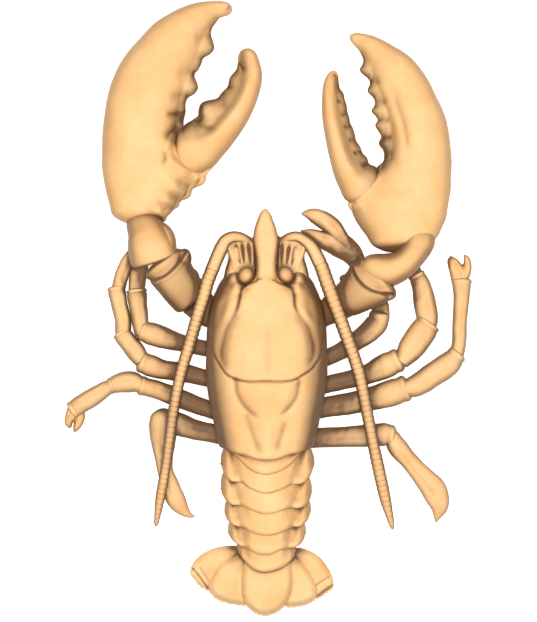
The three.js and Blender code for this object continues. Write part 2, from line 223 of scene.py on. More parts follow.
def plain(bm):
    """Turns a bmesh into a mesh, with nothing fused."""
    mesh = bpy.data.meshes.new("plain")
    bm.to_mesh(mesh)
    bm.free()
    return mesh


def points_of(mesh):
    flat = np.empty(len(mesh.vertices) * 3)
    mesh.vertices.foreach_get("co", flat)
    return flat.reshape(-1, 3)


def normals_of(mesh):
    flat = np.empty(len(mesh.vertices) * 3)
    mesh.vertices.foreach_get("normal", flat)
    return flat.reshape(-1, 3)


def move_points(mesh, co):
    mesh.vertices.foreach_set("co", np.ascontiguousarray(co).ravel())
    mesh.update()


def measure(co, line, dense=40):
    """For each point, seen from above: its distance from a smooth line, its side (+1 is left of the line)
    and how far along the line it lies, from 0 to 1."""
    line = along([(x, y, 0) for x, y in line], np.linspace(0, 1, dense))[:, :2]
    best = np.full(len(co), 1e9)
    side, share = np.ones(len(co)), np.zeros(len(co))
    for k, (a, b) in enumerate(zip(line[:-1], line[1:])):
        step = b - a
        off = co[:, :2] - a
        t = np.clip(off @ step / (step @ step), 0, 1)
        gap = off - t[:, None] * step
        far = np.hypot(gap[:, 0], gap[:, 1])
        near = far < best
        best[near] = far[near]
        side[near] = np.sign(step[0] * off[near, 1] - step[1] * off[near, 0])
        share[near] = (k + t[near]) / (len(line) - 1)
    return best, side, share


def from_line(co, line, dense=40):
    return measure(co, line, dense)[:2]


def valley(co, line, depth, width, start=0.2, end=0.25):
    """A soft valley along a line. It fades in and out at its ends."""
    far, _, share = measure(co, line)
    return depth * bell(far, width) * ramp(share, -0.001, start) * ramp(1 - share, -0.001, end)


def ripple(co, size, seed):
    """Gentle unevenness from -1 to 1, as a sum of waves of about one size in all directions."""
    rng = np.random.RandomState(seed)
    total = np.zeros(len(co))
    for _ in range(9):
        wave = rng.normal(size=3)
        wave *= rng.uniform(0.7, 1.5) * 2 * np.pi / size / np.linalg.norm(wave)
        total += np.sin(co @ wave + rng.uniform(0, 6.28))
    return total / 5


def averaged(mesh, rounds):
    """Where each point would lie if the skin were smoothed for some rounds."""
    co, count = points_of(mesh), len(mesh.vertices)
    ends = np.empty(len(mesh.edges) * 2, dtype=np.int32)
    mesh.edges.foreach_get("vertices", ends)
    a, b = ends.reshape(-1, 2).T
    degree = np.maximum(np.bincount(a, minlength=count) + np.bincount(b, minlength=count), 1)
    for _ in range(rounds):
        sums = [np.bincount(a, co[b, k], count) + np.bincount(b, co[a, k], count) for k in range(3)]
        co = np.stack(sums, 1) / degree[:, None]
    return co


def hollows(mesh, rounds):
    """How far each point lies under (+) or over (-) the mean of the skin around it, in mm."""
    return ((averaged(mesh, rounds) - points_of(mesh)) * normals_of(mesh)).sum(1)


# %% [markdown]
# ## Shell, eyes and skin
# The shell is a golden tan, with brown painted shade on its flanks and in its seams. Real
# shell is never even, so it is also mottled, freckled with tiny pits, and creamy at the joints and
# underneath, with a low satin sheen. A painted texture could give that, but noise and cell patterns on
# Object coordinates need no unwrapping and stay at their true size on every piece. The painted weights
# steer where they fall, and one weight lays the painted shade.

# %% Material helpers
def hue(code):
    """The linear colour of an sRGB code such as E48A50."""
    parts = [int(code[i : i + 2], 16) / 255 for i in (0, 2, 4)]
    return [*(p / 12.92 if p <= 0.04045 else ((p + 0.055) / 1.055) ** 2.4 for p in parts), 1.0]


class Recipe:
    """A material's nodes, written as a chain of short steps."""

    def __init__(self, name):
        self.material = bpy.data.materials.new(name)
        self.material.use_nodes = True
        self.nodes = self.material.node_tree.nodes
        self.links = self.material.node_tree.links
        self.skin = self.nodes["Principled BSDF"]
        self.place = self.nodes.new("ShaderNodeTexCoord").outputs["Object"]

    def feed(self, socket, value):
        if isinstance(value, bpy.types.NodeSocket):
            self.links.new(value, socket)
        else:
            socket.default_value = value

    def noise(self, scale, detail=3.0, rough=0.55):
        n = self.nodes.new("ShaderNodeTexNoise")
        self.links.new(self.place, n.inputs["Vector"])
        n.inputs["Scale"].default_value = scale
        n.inputs["Detail"].default_value = detail
        n.inputs["Roughness"].default_value = rough
        return n.outputs["Fac"]

    def cells(self, scale):
        n = self.nodes.new("ShaderNodeTexVoronoi")
        self.links.new(self.place, n.inputs["Vector"])
        n.inputs["Scale"].default_value = scale
        return n.outputs["Distance"]

    def weight(self, name):
        n = self.nodes.new("ShaderNodeAttribute")
        n.attribute_name = name
        return n.outputs["Fac"]

    def spread(self, value, low, high, to_low=0.0, to_high=1.0):
        n = self.nodes.new("ShaderNodeMapRange")
        for key, number in (("From Min", low), ("From Max", high), ("To Min", to_low), ("To Max", to_high)):
            n.inputs[key].default_value = number
        self.links.new(value, n.inputs["Value"])
        return n.outputs["Result"]

    def times(self, a, b, operation="MULTIPLY"):
        n = self.nodes.new("ShaderNodeMath")
        n.operation = operation
        self.feed(n.inputs[0], a)
        self.feed(n.inputs[1], b)
        return n.outputs[0]

    def mix(self, amount, a, b):
        n = self.nodes.new("ShaderNodeMix")
        n.data_type = "RGBA"
        self.feed(n.inputs[0], amount)
        self.feed(n.inputs[6], a)
        self.feed(n.inputs[7], b)
        return n.outputs[2]

    def bump(self, height, strength, distance, under=None):
        n = self.nodes.new("ShaderNodeBump")
        n.inputs["Strength"].default_value = strength
        n.inputs["Distance"].default_value = distance
        self.links.new(height, n.inputs["Height"])
        if under is not None:
            self.links.new(under, n.inputs["Normal"])
        return n.outputs["Normal"]

    def finish(self, **sockets):
        for key, value in sockets.items():
            self.feed(self.skin.inputs[key.replace("_", " ")], value)
        return self.material


# %% Shell materials
def shell_recipe(name, light, middle, deep_tint_and_shade, cream, shade_colour, gloss):
    r = Recipe(name)
    clouds = r.spread(r.noise(38, 4.0, 0.6), 0.36, 0.66)
    mottle = r.spread(r.noise(210, 3.0, 0.6), 0.35, 0.7)
    colour = r.mix(clouds, hue(middle), hue(light))
    colour = r.mix(r.times(mottle, 0.35), colour, hue(middle))
    # Deeper tint at tips and rims, which also lays painted shade on steep sides.
    colour = r.mix(r.times(r.weight("deep_tint_and_shade"), r.spread(mottle, 0, 1, 0.75, 1.0)), colour, hue(deep_tint_and_shade))
    colour = r.mix(r.times(r.weight("pale"), r.spread(mottle, 0, 1, 1.0, 0.8)), colour, hue(cream))
    pits = r.spread(r.cells(560), 0.0, 0.30, 1.0, 0.0)
    scatter = r.spread(r.noise(120, 2.0), 0.45, 0.62)
    freckles = r.times(r.times(pits, scatter), 0.4)
    colour = r.mix(freckles, colour, hue(deep_tint_and_shade))
    # Painted shade: darkens towards the brown shade colour in seams and hollows, under overhangs and on steep sides.
    colour = r.mix(r.weight("painted_shade"), colour, hue(shade_colour))
    grain = r.bump(r.noise(1900, 2.0, 0.6), 0.10, 0.0003)
    dimples = r.bump(r.spread(r.cells(430), 0.0, 0.35), 0.16, 0.0004, grain)
    rough = r.spread(r.noise(150, 3.0), 0.3, 0.7, gloss - 0.05, gloss + 0.1)
    return r.finish(Base_Color=colour, Roughness=rough, Normal=dimples, Specular_IOR_Level=0.32)


# Colours: light, middle, deep tint (also painted shade on steep sides), cream, the brown of painted shade, then
# gloss.
SHELL = shell_recipe("boiled_shell", "F4C88E", "ECB678", "BE6A34", "FAE0B0", "452612", 0.56)
BELLY = shell_recipe("belly_shell", "F6D2A2", "EEB27C", "CF7C48", "FAE4C4", "6E3F22", 0.56)


def eye_recipe():
    r = Recipe("eye_brown")
    facets = r.spread(r.cells(2600), 0.0, 0.5)
    colour = r.mix(r.times(facets, 0.4), hue("D8A36A"), hue("E8BC86"))
    # Painted shade darkens the eye towards brown where the shade weight is set.
    colour = r.mix(r.weight("painted_shade"), colour, hue("5A3418"))
    return r.finish(Base_Color=colour, Roughness=0.5, Normal=r.bump(facets, 0.08, 0.0001), Specular_IOR_Level=0.35)


def hair_recipe():
    r = Recipe("fringe_hair")
    colour = r.mix(r.noise(300, 2.0), hue("E3A267"), hue("F6D2A0"))
    return r.finish(Base_Color=colour, Roughness=0.6)


EYE, HAIR = eye_recipe(), hair_recipe()

# %% [markdown]
# ## Handing a piece over
# Every finished piece goes through one function. It paints the three weights, gives the piece its
# material, moves it from body millimetres into the imported frame and hides the solid it replaces.

# %% Placing helper
TALLY, PIECES = {}, {}


def set_weight(mesh, key, values):
    layer = mesh.attributes.get(key) or mesh.attributes.new(key, "FLOAT", "POINT")
    layer.data.foreach_set("value", (np.clip(values, 0, 1) + np.zeros(len(mesh.vertices))).astype(np.float32))


def hand_over(name, mesh, finish, nodes=(), pale=0.0, deep_tint_and_shade=0.0, wide=28, painted_shade=0.0, sides=0.6):
    """pale, deep and crevice are numbers or one weight per point. Painted shade for hollows and sloping sides is
    added to crevice, and steep sides are painted a deeper tint as shade.
    """
    # Painted shade in hollows, from how far each point lies under the skin around it.
    near, far = hollows(mesh, 5), hollows(mesh, wide)
    piece_shade = np.clip((near - 0.02) / 0.3, 0, 1) * 0.4 + np.clip((far - 0.2) / 1.6, 0, 1) * 0.5
    # Ridges are painted a little paler and deeper in tint, partly as worn shell and partly as a painted highlight;
    # steep sides get a deeper tint as painted shade.
    rises = np.clip(-near / 0.3, 0, 1)
    slope_shade = ramp(1 - normals_of(mesh)[:, 2], 0.35, 1.0)
    set_weight(mesh, "pale", pale + 0.18 * rises)
    set_weight(mesh, "deep_tint_and_shade", deep_tint_and_shade + 0.2 * slope_shade + 0.1 * rises)
    # Painted shade on sloping sides, as strong as sides says.
    side_shade = sides * ramp(1 - normals_of(mesh)[:, 2], 0.0, 0.5)
    PIECES[name] = (mesh, points_of(mesh), normals_of(mesh), piece_shade + painted_shade + side_shade)
    move_points(mesh, points_of(mesh) * MM + MIDLINE)
    mesh.name = name
    mesh.materials.clear()
    mesh.materials.append(finish)
    mesh.shade_smooth()
    piece = bpy.data.objects.new(name, mesh)
    bpy.context.scene.collection.objects.link(piece)
    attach(piece, "root")
    if nodes:
        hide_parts(*nodes)
    TALLY[name] = sum(len(p.vertices) - 2 for p in mesh.polygons)
    return piece


# %% [markdown]
# ## Carapace
# The carapace is one vaulted shell over head and chest, with the rostrum as its pointed beak. It could be
# box-modelled, but its beauty is in soft swellings divided by fine seams, so it is sculpted: a vault and a
# beak are fused, then carved along lines measured from the photograph. The front part overlaps the rear
# part along the cervical edge, so the skin is raised on one side of that line and cut sharply on the other.

# %% Carapace forms
VAULT = [
    (0, 27, 32.5, 20.5, 10.5), (0, 19.5, 33, 28.2, 14.5), (0, 11, 34.5, 32.6, 18), (0, 3, 35.8, 35.6, 20),
    (0, -8, 37, 37.6, 22),
    (0, -26, 38.7, 38.6, 23.3), (0, -46, 38.7, 38.6, 23.3), (0, -62, 37, 36, 22), (0, -78, 35.3, 32.5, 20.4),
    (0, -91.5, 33.5, 29.5, 18.8),
]
BEAK = [
    (0, -44, 46.5, 19, 5), (0, -24, 50.3, 21, 6), (0, -10, 51.6, 19.6, 6), (0, -2, 51.4, 18.2, 6),
    (0, 5, 50.8, 17.4, 5.8), (0, 10, 50.4, 16.8, 5.6),
    (0, 13.4, 50, 15, 5.4), (0, 16, 49.8, 11, 5.2), (0, 19, 49.5, 7.6, 5), (0, 24, 49.1, 6.5, 4.7),
    (0, 30, 48.7, 6.3, 4.5),
    (-0.1, 38, 48.4, 7.3, 4.2), (-0.4, 44.5, 48.3, 8.1, 4), (-0.7, 51, 48.3, 7.0, 3.5), (-0.8, 58, 48.6, 4.6, 2.7),
    (-0.9, ROSTRUM_TIP, 49, 2, 1.6),
]
bm = bmesh.new()
limb(bm, VAULT, 100, 104, caps=(0.05, 0.035), square=2.12, bow=5.6)
limb(bm, BEAK, 130, 44, caps=(0.12, 0.04), square=2.5)
for sign in (-1, 1):
    limb(bm, [(sign * 24, -6, 38, 7, 8), (sign * 22, 6, 38.5, 7.5, 7.5), (sign * 20.3, 15, 38.2, 7, 7),
        (sign * 19.4, 22, 37.4, 6, 6.2), (sign * 18.8, 27.5, 36, 4.8, 5)], 44, 24, caps=(0.1, 0.2))
carapace = fused(bm, 0.72, 6)

# %% Carapace seams and swellings
CERVICAL = [
    (-36.2, -18.6), (-34.2, -26.2), (-29.8, -35.2), (-25.3, -41), (-20.2, -43.8), (-13.8, -45.4), (0, -45.4),
    (11.2, -45.6), (17.6, -44.5), (22.7, -41.6), (29.1, -37.1), (33.6, -30.7), (35.5, -23), (36.2, -16.6),
]
HEART_LEFT = [(-21.4, -42.9), (-19.5, -46.7), (-18.9, -51.8), (-16.3, -58.2), (-11.8, -64), (-6.7, -67.8),
    (-2.9, -69.8)]
HEART_RIGHT = [(20.8, -43.5), (20.2, -49.3), (18.9, -55.7), (15.7, -60.8), (11.2, -65.3), (6.7, -68.5)]
KEEL_LEFT = [(-13.1, -65.9), (-10.6, -73.6), (-8, -81.9), (-4.8, -89.6), (-2.2, -94.1)]
KEEL_RIGHT = [(11.8, -71), (9.9, -78.7), (7.4, -87), (6.1, -92.2)]
BROW_LEFT = [
    (-6.7, 17.9), (-12.5, 16), (-15.7, 12.8), (-17, 7), (-18.2, 1.9), (-20.8, -4.5), (-24.6, -11.5),
    (-27.2, -19.8), (-28.5, -27.5), (-27.2, -35.2), (-23.4, -40.3),
]
BROW_RIGHT = [
    (6.7, 17.3), (11.8, 15.4), (16.3, 12.8), (17.6, 7.7), (18.2, 1.9), (21.4, -4.5), (25.9, -10.9),
    (28.5, -17.9), (29.8, -25), (28.5, -32.6), (24.6, -37.8),
]
CHEEKS = [[(-22.1, 23), (-19.5, 15.4), (-21.4, 5.8), (-24.6, -1.9), (-29.1, -10.2)],
    [(22, 23), (19.5, 15.4), (20.8, 5.8), (24.6, -3.8), (29.1, -12.2)]]


def carve_carapace(mesh):
    co = points_of(mesh)
    blend = bell(np.maximum(np.abs(co[:, 0]) - 13, 0), 4) * bell(np.maximum(np.abs(co[:, 1] + 6) - 6, 0), 5)
    blend = blend * ramp(co[:, 2], 40, 46)
    brow = np.minimum(from_line(co, BROW_LEFT, 60)[0], from_line(co, BROW_RIGHT, 60)[0])
    blend = np.maximum(blend, 0.95 * bell(np.maximum(brow - 1.5, 0), 3) * ramp(co[:, 1], -14, -4) * (1 - ramp(co[:,
        1], 13, 16)))[:, None]
    move_points(mesh, co * (1 - blend) + averaged(mesh, 90) * blend)
    co, normal = points_of(mesh), normals_of(mesh)
    top = ramp(normal[:, 2], 0.0, 0.35)
    x, y = co[:, 0], co[:, 1]
    rear_shift = 1.3 * bell(x, 5) + 2.4 * bell(np.abs(x) - 15, 7) + 1.6 * bell(np.abs(x) - 26, 5)
    co = co + np.stack([0 * x, rear_shift * ramp(-y, 82, 93), 0 * x], 1)
    lift = 0.25 * ripple(co, 28, 3) + 0.05 * ripple(co, 8, 4)
    far, side = from_line(co, CERVICAL, 60)
    edge = far * side
    crisp = 0.45 + 0.55 * ramp(-y, 22, 38)
    lift += top * crisp * (1.15 * ramp(edge, -0.4, 0.4) * bell(np.maximum(edge, 0), 11) - 0.7 * bell(edge + 0.9,
        1.2))
    for line in (HEART_LEFT, HEART_RIGHT):
        lift -= top * valley(co, line, 1.2, 3.4, 0.16, 0.35)
    lift += top * 1.1 * bell(x / 15, 1) * bell((y + 54) / 10, 1)
    for line in (KEEL_LEFT, KEEL_RIGHT):
        lift -= top * valley(co, line, 1.1, 4.0, 0.4, 0.3)
    for line in (BROW_LEFT, BROW_RIGHT):
        far, side, share = measure(co, line, 60)
        out = far * side * np.sign(line[0][0])
        crisp = ramp(y, -6, 4)
        lift += top * crisp * (0.7 * (1 - ramp(out, -1.4, 0.6)) * bell(np.minimum(out + 1, 0),
            5) - 1.1 * bell(out - 1.3, 2.0))
        lift -= top * 1.5 * bell(far, 3.4) * (1 - crisp) * ramp(1 - share, 0, 0.12)
    inner = ramp(24 - np.abs(x), -4, 6) * ramp(y, -44, -38) * ramp(18.5 - y, -1.5, 1.5)
    lift += top * 0.8 * inner * ramp(np.abs(x), 4, 14) * ramp(-y, 2, 24)
    lift -= top * valley(co, [(0.3, -6), (1, -15), (1, -26), (0.3, -40)], 0.7, 4.2, 0.4, 0.3)
    lift -= top * valley(co, [(2, -40.5), (8.6, -43.2), (16, -43.4)], 0.2, 2.4, 0.4, 0.4)
    lift += top * 1.1 * bell(np.abs(x), 4.5) * ramp(-y, 68, 84)
    for line in CHEEKS:
        lift += top * valley(co, line, 1.4, 3.0, 0.1, 0.4)
    for sign in (-1, 1):
        lift -= top * valley(co, [(sign * 19, 13), (sign * 22.5, 3), (sign * 27, -7)], 1.4, 2.6, 0.2, 0.5)
        lift -= top * valley(co, [(sign * 25.5, 10), (sign * 29, -2), (sign * 32, -14)], 0.8, 3, 0.3, 0.5)
        lift -= top * 2.4 * bell(np.hypot(x - sign * 12.4, y - 21.4) / 6.6, 1) * ramp(48 - co[:, 2], 0, 3)
    lift += 0.4 * bell(co[:, 2] - 19, 1.4) * ramp(np.abs(x), 20, 30)
    lift -= 0.5 * bell(co[:, 2] - 22, 1.2) * ramp(np.abs(x), 24, 30)
    move_points(mesh, co + normal * lift[:, None])


carve_carapace(carapace)
co, normal = points_of(carapace), normals_of(carapace)
# Painted shade along the midline, heart, keel and brow seams, on the outer flanks and on the rostrum's sides; the
# cheek lines are left a little less shaded.
seam_and_side_shade = 0.12 * bell(co[:, 0] - 0.6, 2.2) * ramp(co[:, 1], -44, -36) * (1 - ramp(co[:, 1], -16, -6))
for lines, strength, width in (((HEART_LEFT, HEART_RIGHT), 0.5, 1.5), ((KEEL_LEFT, KEEL_RIGHT), 0.3, 1.9),
    ((BROW_LEFT, BROW_RIGHT), 0.42, 1.5), (CHEEKS, -0.12, 2)):
    for line in lines:
        far, side, share = measure(co, line, 60)
        seam_and_side_shade = seam_and_side_shade + strength * bell(far, width) * ramp(share, 0, 0.06) * (1 - ramp(share, 0.8, 1))
outer = np.abs(co[:, 0]) / np.interp(-co[:, 1], [-27, -19.5, -11, -3, 8, 26, 46, 62, 78, 91.5],
    [20.5, 28.2, 32.6, 35.6, 37.6, 38.6, 38.6, 36, 32.5, 29.5])
seam_and_side_shade = seam_and_side_shade + 0.75 * ramp(outer, 0.5, 1.0) ** 1.1 * (1 - 0.6 * ramp(co[:, 1], 16, 26))
beak = np.abs(co[:, 0] + 0.6 * ramp(co[:, 1], 40, 52)) / np.interp(co[:, 1], [19, 24, 30, 38, 44.5, 51, 58, 64.5],
    [7.6, 6.5, 6.3, 7.3, 8.1, 7, 4.6, 2.4])
seam_and_side_shade = seam_and_side_shade + 0.42 * ramp(beak, 0.45, 1.05) * ramp(co[:, 1], 19, 27)
hand_over(
    "carapace_shell", carapace, SHELL, ["carapace"],
    pale=0.85 * ramp(-co[:, 2], -26, -15) + 0.2 * bell(co[:, 1] + 96, 3),
    deep_tint_and_shade=0.3 * ramp(co[:, 1], 52, 66), painted_shade=seam_and_side_shade * ramp(normal[:, 2], -0.3, 0.1), sides=0.35,
)
print("carapace:", TALLY["carapace_shell"], "triangles")

# %% [markdown]
# ## Eyes
# A lobster's eye is a dome on a short movable stalk, in a socket beside the rostrum. The photograph shows
# it as pale and matt as the shell, so it has a tan of its own. The dome is a ball, and the collar round
# it is a blunt-ended limb fused to its stalk.

# %% Eyes
EYES_AT = {"left": (-12.6, 21.2), "right": (11.7, 21.5)}
for side_name, (x, y) in EYES_AT.items():
    bm = bmesh.new()
    lump(bm, x, y, 44.8, 5.5, 5.7, 5.2, detail=5)
    hand_over(f"{side_name}_eye_dome", plain(bm), EYE, [f"{side_name}_eye"])
    bm = bmesh.new()
    limb(bm, [(x * 0.8, y - 4, 40, 4, 3), (x, y, 40.5, 6.2, 4), (x * 1.05, y + 3.5, 39.5, 4.8, 3.4)], 30, 24)
    limb(bm, [(x, y, 38, 4.6, 4.6), (x, y + 0.1, 42, 5.2, 5.2), (x, y + 0.2, 45.2, 4.5, 4.7)], 30, 28,
        caps=(0.2, 0.2))
    stalk = fused(bm, 0.4, 6)
    # The stalk carries some painted shade all over.
    hand_over(f"{side_name}_eye_stalk", stalk, SHELL, painted_shade=0.2)

# %% [markdown]
# ## Tail rings
# Six plates cover the tail like roof tiles, each tucked under the one in front. The four in the middle
# spread into a rounded lobe on either side, with a soft valley between lobe and crown. A plate is a thin
# curved sheet, so it starts as a flat grid. Its rear edge is the line measured from the photograph. The
# grid is bent over the tail's arch and then given the thickness of shell.

# %% Tail rings
# Rear edge from left to right, then the crown's height at that edge.
RINGS = [
    ([(-25, -90), (-19.5, -94), (-15, -98.6), (-9.3, -103.4), (-0.3, -105.8), (8.6, -103.7), (15, -99.8),
    (19.5, -95), (25, -91)], 47.5),
    ([(-29.3, -97.5), (-28, -103), (-25.6, -107.8), (-22.5, -110), (-18.9, -110.4), (-16.5, -110.8),
    (-10.6, -114.6), (-0.3, -117.8),
      (8.6, -115.8), (15, -112.8), (18.2, -112), (22, -111.6), (25.3, -110), (28.2, -106), (30.8, -99)], 46.5),
    ([(-29.3, -114), (-28.3, -118.3), (-25.5, -122.6), (-22, -125), (-17, -125.4), (-10.6, -128), (-0.3, -131),
    (8.6, -129.3), (14.5, -127),
      (19.5, -127.2), (24, -126), (27, -123.3), (29.2, -117)], 45),
    ([(-27, -129.5), (-25.8, -133.4), (-22.6, -137.2), (-17.8, -139), (-15.5, -139.4), (-10.6, -142),
    (-2.9, -144.4), (5.4, -144),
      (12, -141.6), (17, -139.2), (21.4, -138.9), (26.2, -135), (28.6, -129)], 42),
    ([(-24.8, -142.5), (-23.2, -146), (-19.5, -149.6), (-16.5, -151.4), (-12.5, -153), (-5.4, -156.6),
    (2.2, -156.8), (9.9, -153.8),
      (14, -152.8), (19, -152), (22.9, -149), (25.4, -143)], 37.5),
    ([(-18.9, -152.5), (-17.6, -156), (-14.4, -160.8), (-9.3, -165.8), (-1.6, -168.2), (5.4, -167), (12.5, -163.8),
    (17, -159.4), (18.9, -154)], 32),
]
VALLEY = 16.8
THICK = 1.1
LOBE_FOOT = 6.5


def arch_drop(x, valley, tip, lobed):
    """How far the plate lies below its crown, at x."""
    far = np.abs(x)
    if not lobed:
        return 0.02 * far**2 + 5 * ramp(far, tip * 0.8, tip * 1.05)
    out = np.clip((far - valley) / np.maximum(tip - valley, 1), 0, 1.2)
    return 0.018 * np.minimum(far, valley) ** 2 + 1.2 * bell(far - valley, 3.0) + 3.0 * out + 8 * out**4


before, ahead = np.array([(-30, -84.0), (30, -84.0)]), 49
for i, (rear_edge, crown) in enumerate(RINGS):
    lobed = 0 < i < 5
    edge = np.array(rear_edge)
    valley_at = VALLEY * (0.84 if i == 4 else 1)
    bm = bmesh.new()
    bmesh.ops.create_grid(bm, x_segments=190, y_segments=34, size=1)
    flat = np.array([v.co for v in bm.verts])
    u, v = flat[:, 0], (1 - flat[:, 1]) / 2
    tip = np.where(u < 0, -edge[0, 0], edge[-1, 0])
    tip_y = np.where(u < 0, edge[0, 1], edge[-1, 1])
    share = np.clip(np.abs(u) / 0.8, 0, 1)
    soft = valley_at + 6.0 * (1 - v)
    skirt = np.clip((np.abs(u) - 0.8) / 0.2, 0, 1)
    x = np.sign(u) * (tip * np.sin(share * 1.45) / np.sin(1.45) * 0.99 + 0.3 * np.sin(np.minimum(skirt * 3,
        1) * 1.57) - 1.2 * skirt**2)
    smooth_edge = along([(px, py, 0) for px, py in rear_edge], np.linspace(0, 1, 240))
    y_rear = np.interp(x, smooth_edge[:, 0], smooth_edge[:, 1])
    inset = np.clip((tip - np.abs(x)) / 6.5, 0, 1)
    tucked = np.interp(x, before[:, 0], before[:, 1]) + 6
    y_front = tucked + (tip_y + 1.8 - tucked) * (1 - 0.5 * np.sqrt(1 - (1 - inset) ** 2) - 0.5 * np.sin(inset * 1.57)) if lobed else tucked
    y_front = y_front * (1 - skirt) + (tip_y + 1.2) * skirt if lobed else y_front
    y_rear = y_rear * (1 - skirt) + (tip_y - 1.5) * skirt if lobed else y_rear
    y = y_front + (y_rear - y_front) * v
    tuck = -2.6 + (2.6 + ahead - 1.9 - crown) * (1 - ramp(np.abs(x), 9, 16))
    z = crown - arch_drop(x, soft, tip, lobed) + tuck * (1 - v) ** 1.25 - 0.5 * ramp(v, 0.94,
        1.0) + 0.5 * bell(v - 0.86, 0.1)
    z = z * (1 - skirt) + (LOBE_FOOT if lobed else crown * 0.35) * skirt
    for point, place in zip(bm.verts, np.stack([x, y, z], 1)):
        point.co = place
    bmesh.ops.recalc_face_normals(bm, faces=bm.faces)
    bm.normal_update()
    if sum(f.normal.z for f in bm.faces) < 0:
        bmesh.ops.reverse_faces(bm, faces=bm.faces)
    bmesh.ops.solidify(bm, geom=bm.faces[:], thickness=THICK)
    bmesh.ops.recalc_face_normals(bm, faces=bm.faces)
    ring = plain(bm)
    co, normal = points_of(ring), normals_of(ring)
    out = ramp(normal[:, 2], 0.0, 0.4)
    lift = out * (0.16 * ripple(co, 13, 20 + i) + 0.04 * ripple(co, 4, 30 + i))
    co = co + normal * lift[:, None]
    move_points(ring, co)
    near_edge = from_line(co, rear_edge, 60)[0]
    # Undersides are painted pale, a deeper tint runs just before the rear edge, and steep sides get painted shade.
    hand_over(
        f"tail_ring_{i + 1}_shell", ring, SHELL, [f"tail_ring_{i + 1}"],
        pale=0.6 * ramp(-co[:, 2], -14, -5),
        deep_tint_and_shade=0.3 * bell(near_edge - 0.6, 0.9) * out, wide=20, sides=0.45,
    )
    before, ahead = smooth_edge[:, :2], crown
print("tail rings:", sum(TALLY[k] for k in TALLY if "ring" in k), "triangles")

# %% [markdown]
# ## Tail fan
# Five blades spread behind the last ring: the telson on top, then an inner and an outer blade on each
# side, each pair a little lower. A blade's outline matters most, so it starts as a circle whose points
# are moved to that outline. It is extruded to a slab, fused to even quads, and crowned and carved by the
# distance from its rim. Its rear edge has a fringe of short hairs, which are thin cones side by side.

# %% Tail fan
TILT = 0.24
FAN_END = -196.5
# Outline, height of its underside at the fan's end, share of the outline that has a fringe, mid rib.
BLADES = {
    "telson": (
        [(-11.8, -155.5), (-14.2, -161), (-15.3, -168), (-16.3, -176.6), (-15.2, -185.6), (-12.5, -190.2),
        (-6.1, -195), (-0.3, -196.4),
         (6.1, -194.4), (11.2, -190.5), (14.4, -186), (16.4, -179.8), (16.9, -172), (15.2, -163), (11.8, -155.5)],
        6.2, (0.36, 0.64), [(0, -157), (0, -175), (0, -194)]),
    "left_inner_fan": (
        [(-10.6, -155.5), (-18.2, -157.2), (-24, -160.6), (-31, -165.1), (-35.5, -172.2), (-37, -179), (-35, -183),
        (-31.7, -185.8), (-25.9, -188.2),
         (-20, -189.4), (-14, -189.6), (-10, -186), (-8.5, -170), (-10.6, -155.5)],
        3.1, (0.40, 0.68), [(-15, -157), (-21, -168), (-25.5, -186)]),
    "right_inner_fan": (
        [(10.6, -155.5), (18.2, -159.4), (23.4, -163.2), (27.8, -168.3), (31, -174.7), (32.4, -182.4), (31, -186),
        (27.8, -188.4), (21.4, -190.3),
         (15, -191), (10, -189), (8, -184), (8, -168), (10.6, -155.5)],
        3.1, (0.40, 0.68), [(14, -157), (18.5, -168), (21.5, -187)]),
    "left_outer_fan": (
        [(-15, -153), (-19.5, -151.8), (-27.2, -152), (-34.9, -153.8), (-42.6, -158.1), (-47.9, -164.6),
        (-49, -169.2), (-45.8, -173.8),
         (-40.6, -178.8), (-36, -180.6), (-28.5, -179.8), (-21, -168), (-16, -159), (-15, -153)],
        0.2, (0.50, 0.71), [(-17, -155), (-30, -160), (-43, -170)]),
    "right_outer_fan": (
        [(14, -155), (20.2, -153), (27.2, -154.7), (33.6, -158.7), (39.4, -165.8), (42.6, -173.2), (42.8, -178),
        (39.4, -181), (33, -185.2),
         (28.5, -185), (22, -176), (17, -166), (14, -155)],
        0.2, (0.46, 0.70), [(16, -157), (26, -164), (36, -177)]),
}
SUTURES = {
    "left_outer_fan": [([(-47.5, -166.5), (-43.2, -171.5), (-40, -176), (-36, -181)], 0.9),
    ([(-42.5, -166), (-39.5, -170.5), (-37, -174.5)], 0.5)],
    "right_outer_fan": [([(31, -177.6), (35.5, -174.7), (40, -171.8)], 0.55),
    ([(31.5, -185.4), (37.4, -180.8), (43, -177)], 0.9)],
}
rng = np.random.RandomState(11)
